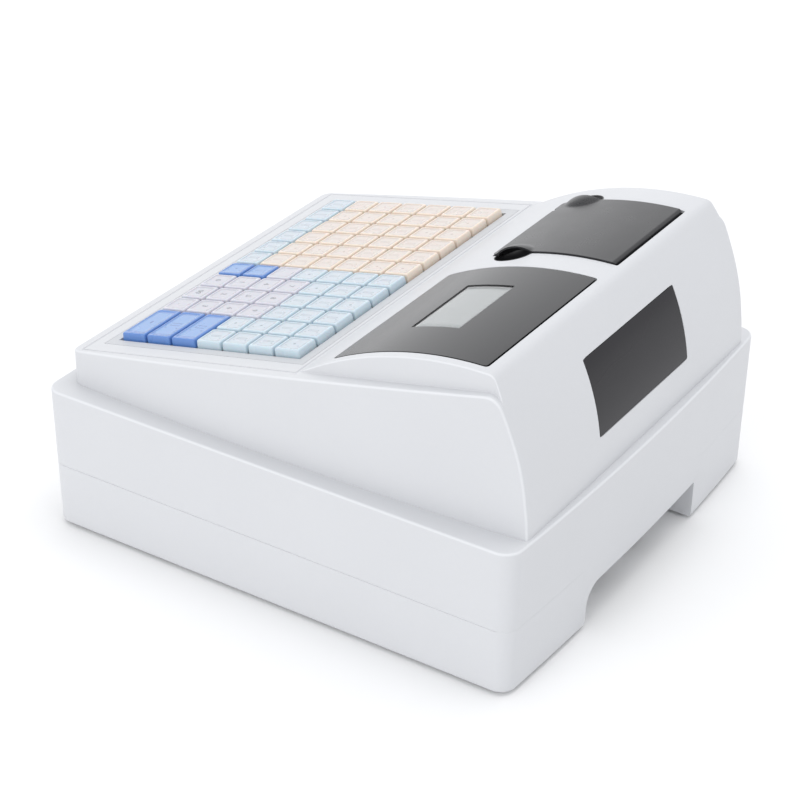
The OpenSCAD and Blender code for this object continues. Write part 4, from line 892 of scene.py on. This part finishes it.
def notchLining(heights):
    # the notch's outline carried in from the rear face, closed by its inner wall
    n, (sharpR, roundR) = base["notch"], base["notchRound"]
    a, upZ = quarter(8), np.array(base["liningFoot"])
    upX = np.full(len(upZ), n[1])
    flat = lines(sharpR + n[0], n[1] - roundR, base["liningStep"])[::-1][1:-1]
    x = join([upX, n[1] - roundR * (1 - np.cos(a)), flat, n[0] + sharpR * (1 - np.cos(a[::-1])), -upX])
    z = join([upZ, n[3] - roundR * (1 - np.sin(a)), 0 * flat + n[3],
              n[3] - sharpR * (1 - np.sin(a[::-1])), upZ[::-1]])
    footZ, footInset = np.array(heights[1:6]).T
    inset = np.maximum(draft(z), np.interp(z, footZ, footInset, right=0)) + base["liningGap"]
    depth = np.linspace(0, 1, base["liningRows"])[:, None]
    y = base["notchY"] + (rearLine(x) - inset - base["notchY"])[None] * depth
    grid = np.stack([x + 0 * y, y, z + 0 * y], -1)
    return [sheet(grid), lid(grid[0], True)]


def baseFloor(ring):
    # one face inside the foot's ring, going round the notch
    half, inY, low = base["notch"][1], base["notchY"], base["low"]
    ring = ring[(ring[:, 1] < base["rearY"]) | (np.abs(ring[:, 0]) > half - base["tiny"])]
    ring = ring[np.argsort(np.arctan2(ring[:, 0], -ring[:, 1]), kind="stable")]
    return lid(join([[[-half, inY, low]], ring, [[half, inY, low]]]), True)


lowHeights = [*base["footRows"], *drafted(base["lowRows"])]
lowHeights += [(base["seam"] - d, draft(base["lowSeam"]) + inset) for d, inset in base["seamRows"]]
grid, keep = wrap(lowHeights, lowerDrop, notchShape)
lowerParts = [sheet(grid, keep), *notchLining(lowHeights), baseFloor(grid[0])]
lowerPiece = putMesh("lowerHousing", lowerParts)

edgeTurn = quarter(6)
upHeights = [(base["seam"] + d, draft(base["upSeam"]) + inset) for d, inset in base["seamRows"][::-1]]
upHeights += drafted(base["upRows"])
upHeights += [(base["top"] - base["edge"] * (1 - math.sin(t)),
               draft(base["topEdge"]) + base["edge"] * (1 - math.cos(t))) for t in edgeTurn]
upHeights += [(base["top"], inset) for inset in base["roofInsets"]]
grid, keep = wrap(upHeights, upperDrop)
atTongue = (grid[..., 1] > base["rearY"]) & (np.abs(grid[..., 0]) < base["tongue"] + base["tiny"])
onRearLine = rearLine(grid[..., 0]) - draft(grid[..., 2])
grid[..., 1] = np.where(atTongue & (grid[..., 2] < base["tongueTop"]), onRearLine, grid[..., 1])
tx, tz = np.meshgrid(np.sort(grid[0][atTongue[0], 0]), base["tongueRows"])
overNotch = (tx > base["notch"][0] + base["tuckIn"]) & (tx < base["notch"][1] - base["notchRound"][1])
inset = draft(tz) + base["tuck"] * (tz < base["tuckTop"]) * overNotch
upperParts = [sheet(grid, keep), lid(grid[-1][:-1]),
              sheet(np.stack([tx, rearLine(tx) - inset, tz], -1), flip=True)]
# painted highlight along the quarter round of the top edge
highlightShare = np.zeros(grid.shape[:2])
highlightShare[-len(edgeTurn) - 2:-2] = np.sin(2 * edgeTurn)[:, None]
upperPiece = putMesh("upperHousing", upperParts, paintedHighlights=[highlightShare, highlightShare[-1][:-1], 0 * tx])
for piece, node in ((lowerPiece, "lower_housing"), (upperPiece, "upper_housing")):
    thicken(piece, base["wall"])
    roundEdges(piece, base["bevel"], 50)
    finishPiece(piece, "housing", "case_white", node)

drawerFace = dict(box=(-137.0, 137.0, 10.6, 85.4), round=1.2, thickness=5.0, edge=0.9, steps=(9, 6),
                  beside=((0.6, 1.2),) * 2, lock=(0.0, 62.0), lockRadius=9.5, lockStep=1.4, lockLines=8)


def onFront(u, v, lift):  # x and z on the front face, following its lean
    return np.stack([u, base["front"] + draft(v) - lift, v], -1)


def drawerShape(u, v):  # rectangle less the lock's hole
    return np.maximum(roundBox(u, v, drawerFace["box"], drawerFace["round"]),
                      -disc(u, v, drawerFace["lock"], drawerFace["lockRadius"]))


lockLines = drawerFace["lockStep"] * np.arange(-drawerFace["lockLines"], drawerFace["lockLines"] + 1)
frontPiece = boxPanel("drawerFront", drawerFace, onFront, drawerShape,
                      [c + lockLines for c in drawerFace["lock"]])
finishPiece(frontPiece, "drawer", "case_white", "drawer_front")
print("base housings and drawer front made")


keys = dict(
    pitch=19.05, gap=1.4, margin=22.8, columns=12,
    levels=((-1.2, 0.0, 0.9), (1.6, 0.12, 1.0), (3.35, 0.25, 1.1), (3.85, 0.4, 1.2), (4.12, 0.7, 1.4),
            (4.2, 1.15, 1.5), (4.2, 1.9, 1.6), (4.02, 2.15, 1.6), (3.98, 4.0, 1.6)),
    stem=4.8, stemDepth=7.6, perCorner=4,
)


def keyMiddle(column, row, cells):  # x across, v up the slope, and the width in cells
    x = (keys["columns"] / 2 - column - cells / 2) * keys["pitch"]
    return x, keys["margin"] + (row + 0.5) * keys["pitch"], cells


def capRing(width, length, inset, radius):
    # a rectangle with round corners, as points going round it
    w, l = width / 2 - inset - radius, length / 2 - inset - radius
    a = quarter(keys["perCorner"]) + np.arange(4)[:, None] * math.pi / 2
    x = (np.array([[w], [-w], [-w], [w]]) + radius * np.cos(a)).ravel()
    y = (np.array([[l], [l], [-l], [-l]]) + radius * np.sin(a)).ravel()
    return np.append(x, x[0]), np.append(y, y[0])


def capMesh(cells):
    # rings of the cap's outline carried up its side and in over its top, closed by a face, on a square stem
    width, length = cells * keys["pitch"] - keys["gap"], keys["pitch"] - keys["gap"]
    rings = [(*capRing(width, length, inset, radius), z) for z, inset, radius in keys["levels"]]
    grid = np.stack([np.stack([x, y, 0 * x + z], 1) for x, y, z in rings])
    half = keys["stem"] / 2
    stem = np.array([[sx * half, sy * half, z] for z in (-keys["stemDepth"], 0.0)
                     for sx, sy in ((1, 1), (-1, 1), (-1, -1), (1, -1), (1, 1))]).reshape(2, 5, 3)
    return [sheet(grid), lid(grid[-1][:-1]), lid(grid[0][:-1], True),
            sheet(stem), lid(stem[0][:4], True), lid(stem[1][:4])]


def readPoints(mesh):
    points = np.empty(len(mesh.vertices) * 3)
    mesh.vertices.foreach_get("co", points)
    return points.reshape(-1, 3)


def keyPiece(name, node, places, slotName):
    # the caps of one body, each with its own UV from 0 to 1 over the cap and a seed for its marks
    parts, middles = [], np.array([keyMiddle(*place) for place in places])
    for x, v, cells in middles:
        for points, faces in capMesh(cells):
            p = np.asarray(points, float).reshape(-1, 3)
            parts.append((onDeck(p[:, 0] + x, p[:, 1] + v, p[:, 2]), faces))
    piece = putMesh(name, parts, weld=0.005, sharp=50)
    mesh = piece.data
    x, y, z = readPoints(mesh).T / mm
    v = (y - deckFront) * tiltCos + (z - case["edgeZ"]) * tiltSin
    owner = np.hypot((x[:, None] - middles[:, 0]) / middles[:, 2], v[:, None] - middles[:, 1]).argmin(1)
    size, span = keys["pitch"] - keys["gap"], middles[owner, 2] * keys["pitch"] - keys["gap"]
    uv = np.stack([(v - middles[owner, 1]) / size + 0.5, 0.5 - (x - middles[owner, 0]) / span], 1)
    seed = np.array([(c * 37 + r * 61) % 23 / 23 for c, r, n in places])[owner]
    loops = np.empty(len(mesh.loops), int)
    mesh.loops.foreach_get("vertex_index", loops)
    mesh.uv_layers.new(name="cap").data.foreach_set("uv", uv[loops].astype(np.float32).ravel())
    mesh.attributes.new("seed", "FLOAT", "POINT").data.foreach_set("value", seed.astype(np.float32))
    return finishPiece(piece, node, slotName, node)


def block(columns, rows):
    return [(c, r, 1) for c in columns for r in rows]


keySets = [("wideKey%d" % n, "wide_key_%d" % n, [(0, n - 1, 2)], "key_blue") for n in (1, 2, 3)]
keySets += [
    ("sideKeys", "side_keys", block((0, 1), (3, 4, 5, 6)), "key_sky"),
    ("upperKeys", "upper_keys", block((2, 3, 4), (4, 5, 6)), "key_sky"),
    ("actionKeys", "action_keys", block((5,), (0, 1)), "key_blue"),
    ("frontRowKeys", "front_row_keys", block(range(6, 12), (0,)) + block((5,), (3, 4, 5, 6)), "key_sky"),
]
for n in (1, 2, 3):
    places = block((5 - n,), (0, 1, 2, 3)) + (block((5,), (2,)) if n == 1 else [])
    keySets.append(("numberKeys%d" % n, "number_keys_%d" % n, places, "key_lilac"))
for n in range(1, 7):
    places = block((n + 5,), range(1, 7))
    keySets.append(("departmentKeys%d" % n, "department_keys_%d" % n, places, "key_peach"))
for name, node, places, slotName in keySets:
    keyPiece(name, node, places, slotName)

numbers = dict(size=5.6, lift=4.0, raised=0.05, drop=0.35,
               columns=("741", "852", "963"), last=("0", "00", "."))


def keyNumbers(column):
    # one column of the number keys: each number is set flat on its cap, reading from the front
    parts = []
    for row, sign in enumerate(reversed([*numbers["columns"][column], numbers["last"][column]])):
        x, v, _ = keyMiddle(4 - column, row, 1)
        text = bpy.data.curves.new("number", "FONT")
        text.body, text.size, text.align_x, text.extrude = sign, numbers["size"], "CENTER", numbers["raised"]
        text.resolution_u = 3
        holder = bpy.data.objects.new("number", text)
        flat = bpy.data.meshes.new_from_object(holder)
        p = readPoints(flat) + [x, v - numbers["drop"] * numbers["size"], numbers["lift"]]
        parts.append((onDeck(*p.T), [list(face.vertices) for face in flat.polygons]))
        bpy.data.objects.remove(holder)
        bpy.data.curves.remove(text)
        bpy.data.meshes.remove(flat)
    piece = putMesh("keyNumbers%d" % (column + 1), parts, weld=0.001, sharp=30)
    finishPiece(piece, "number_keys_%d" % (column + 1), "grey_plastic")


for column in range(3):
    keyNumbers(column)
print("keys:", sum(len(s[2]) for s in keySets))


carried = dict(  # nodes that keep the solid's own mesh, by their look
    rubber="rubber_feet platen_roller", deck_grey="key_frame", circuit_board="keyboard_board main_board",
    black_plastic="operator_display customer_display rear_sockets coin_tray", grey_plastic="printer_chassis",
    dark_metal="thermal_head printer_motor", paper="paper_roll", cardboard="paper_core",
    nylon="motor_gear platen_gear front_rollers rear_rollers", transformer="power_supply",
    polished_steel="case_screws platen_shaft cover_hinge_pin lock_cylinder lock_plug clip_rod"
                   " solenoid_plunger",
    steel="drawer_rails drawer_tray note_clip_1 note_clip_2 note_clip_3 note_clip_4"
          " latch_solenoid latch_lever",
    spring_steel="eject_spring",
)
lookOf = {node: look for look, names in carried.items() for node in names.split()}
for name, node in nodes.items():
    if name in lookOf:
        node.data.materials.clear()
        node.data.materials.append(looks[lookOf[name]])
    elif not node.hide_render:
        print("no finish for", name)
print("carried nodes finished:", len(lookOf))


stageLook = dict(floor=(0.92, 0.92, 0.92), side=12000, below=0.2,
                 world=0.90, worldColour=(0.97, 0.98, 1.0, 1))


def floorPiece():
    side = np.linspace(-stageLook["side"] / 2, stageLook["side"] / 2, 9)
    u, v = np.meshgrid(side, side)
    piece = putMesh("paleFloor", [sheet(np.stack([u, v, 0 * u - stageLook["below"]], -1))])
    piece.data.materials.append(moulded("paleFloor", stageLook["floor"], 0.8, 0.05, 0.004))


floorPiece()
world = bpy.data.worlds.new("softRoom")
bpy.context.scene.world = world
world.use_nodes = True
world.node_tree.nodes["Background"].inputs["Color"].default_value = stageLook["worldColour"]
world.node_tree.nodes["Background"].inputs["Strength"].default_value = stageLook["world"]

lights = [  # name, place, aims at, width, power
    ("sideSoftbox", (3.5, -0.6, 1.4), (0, 0, 0.1), 2.4, 32),
    ("topSoftbox", (-0.5, 0.5, 3.8), (0, 0, 0.1), 2.6, 39),
    ("farSoftbox", (-3.1, -2.3, 0.95), (0, 0, 0.2), 2.9, 14),
]
for name, place, target, width, power in lights:
    data = bpy.data.lights.new(name, "AREA")
    data.shape, data.size, data.energy = "SQUARE", width, power
    lamp = bpy.data.objects.new(name, data)
    lamp.location = place
    lamp.rotation_euler = (Vector(target) - Vector(place)).to_track_quat("-Z", "Y").to_euler()
    bpy.context.scene.collection.objects.link(lamp)
print("stage and lights:", len(lights))

view = dict(place=(1.00355, 0.62891, 0.75374), turn=122.401, rise=30.105, roll=0.527,
            lens=99.302, sensor=36, clip=(0.05, 50))


def mainCamera():
    # looks back along the fitted direction, rolled a little about it
    a, e, r = (math.radians(view[k]) for k in ("turn", "rise", "roll"))
    back = Vector((math.sin(a) * math.cos(e), -math.cos(a) * math.cos(e), math.sin(e)))
    right = (-back).cross(Vector((0, 0, 1))).normalized()
    up = right.cross(-back)
    across = math.cos(r) * right + math.sin(r) * up
    upward = -math.sin(r) * right + math.cos(r) * up
    data = bpy.data.cameras.new("mainCamera")
    data.lens, data.sensor_width = view["lens"], view["sensor"]
    data.clip_start, data.clip_end = view["clip"]
    camera = bpy.data.objects.new("mainCamera", data)
    camera.matrix_world = Matrix((across, upward, back)).transposed().to_4x4()
    camera.location = view["place"]
    bpy.context.scene.collection.objects.link(camera)
    bpy.context.scene.camera = camera


mainCamera()
bpy.context.scene.view_settings.view_transform = "Standard"
bpy.context.scene.view_settings.look = "None"
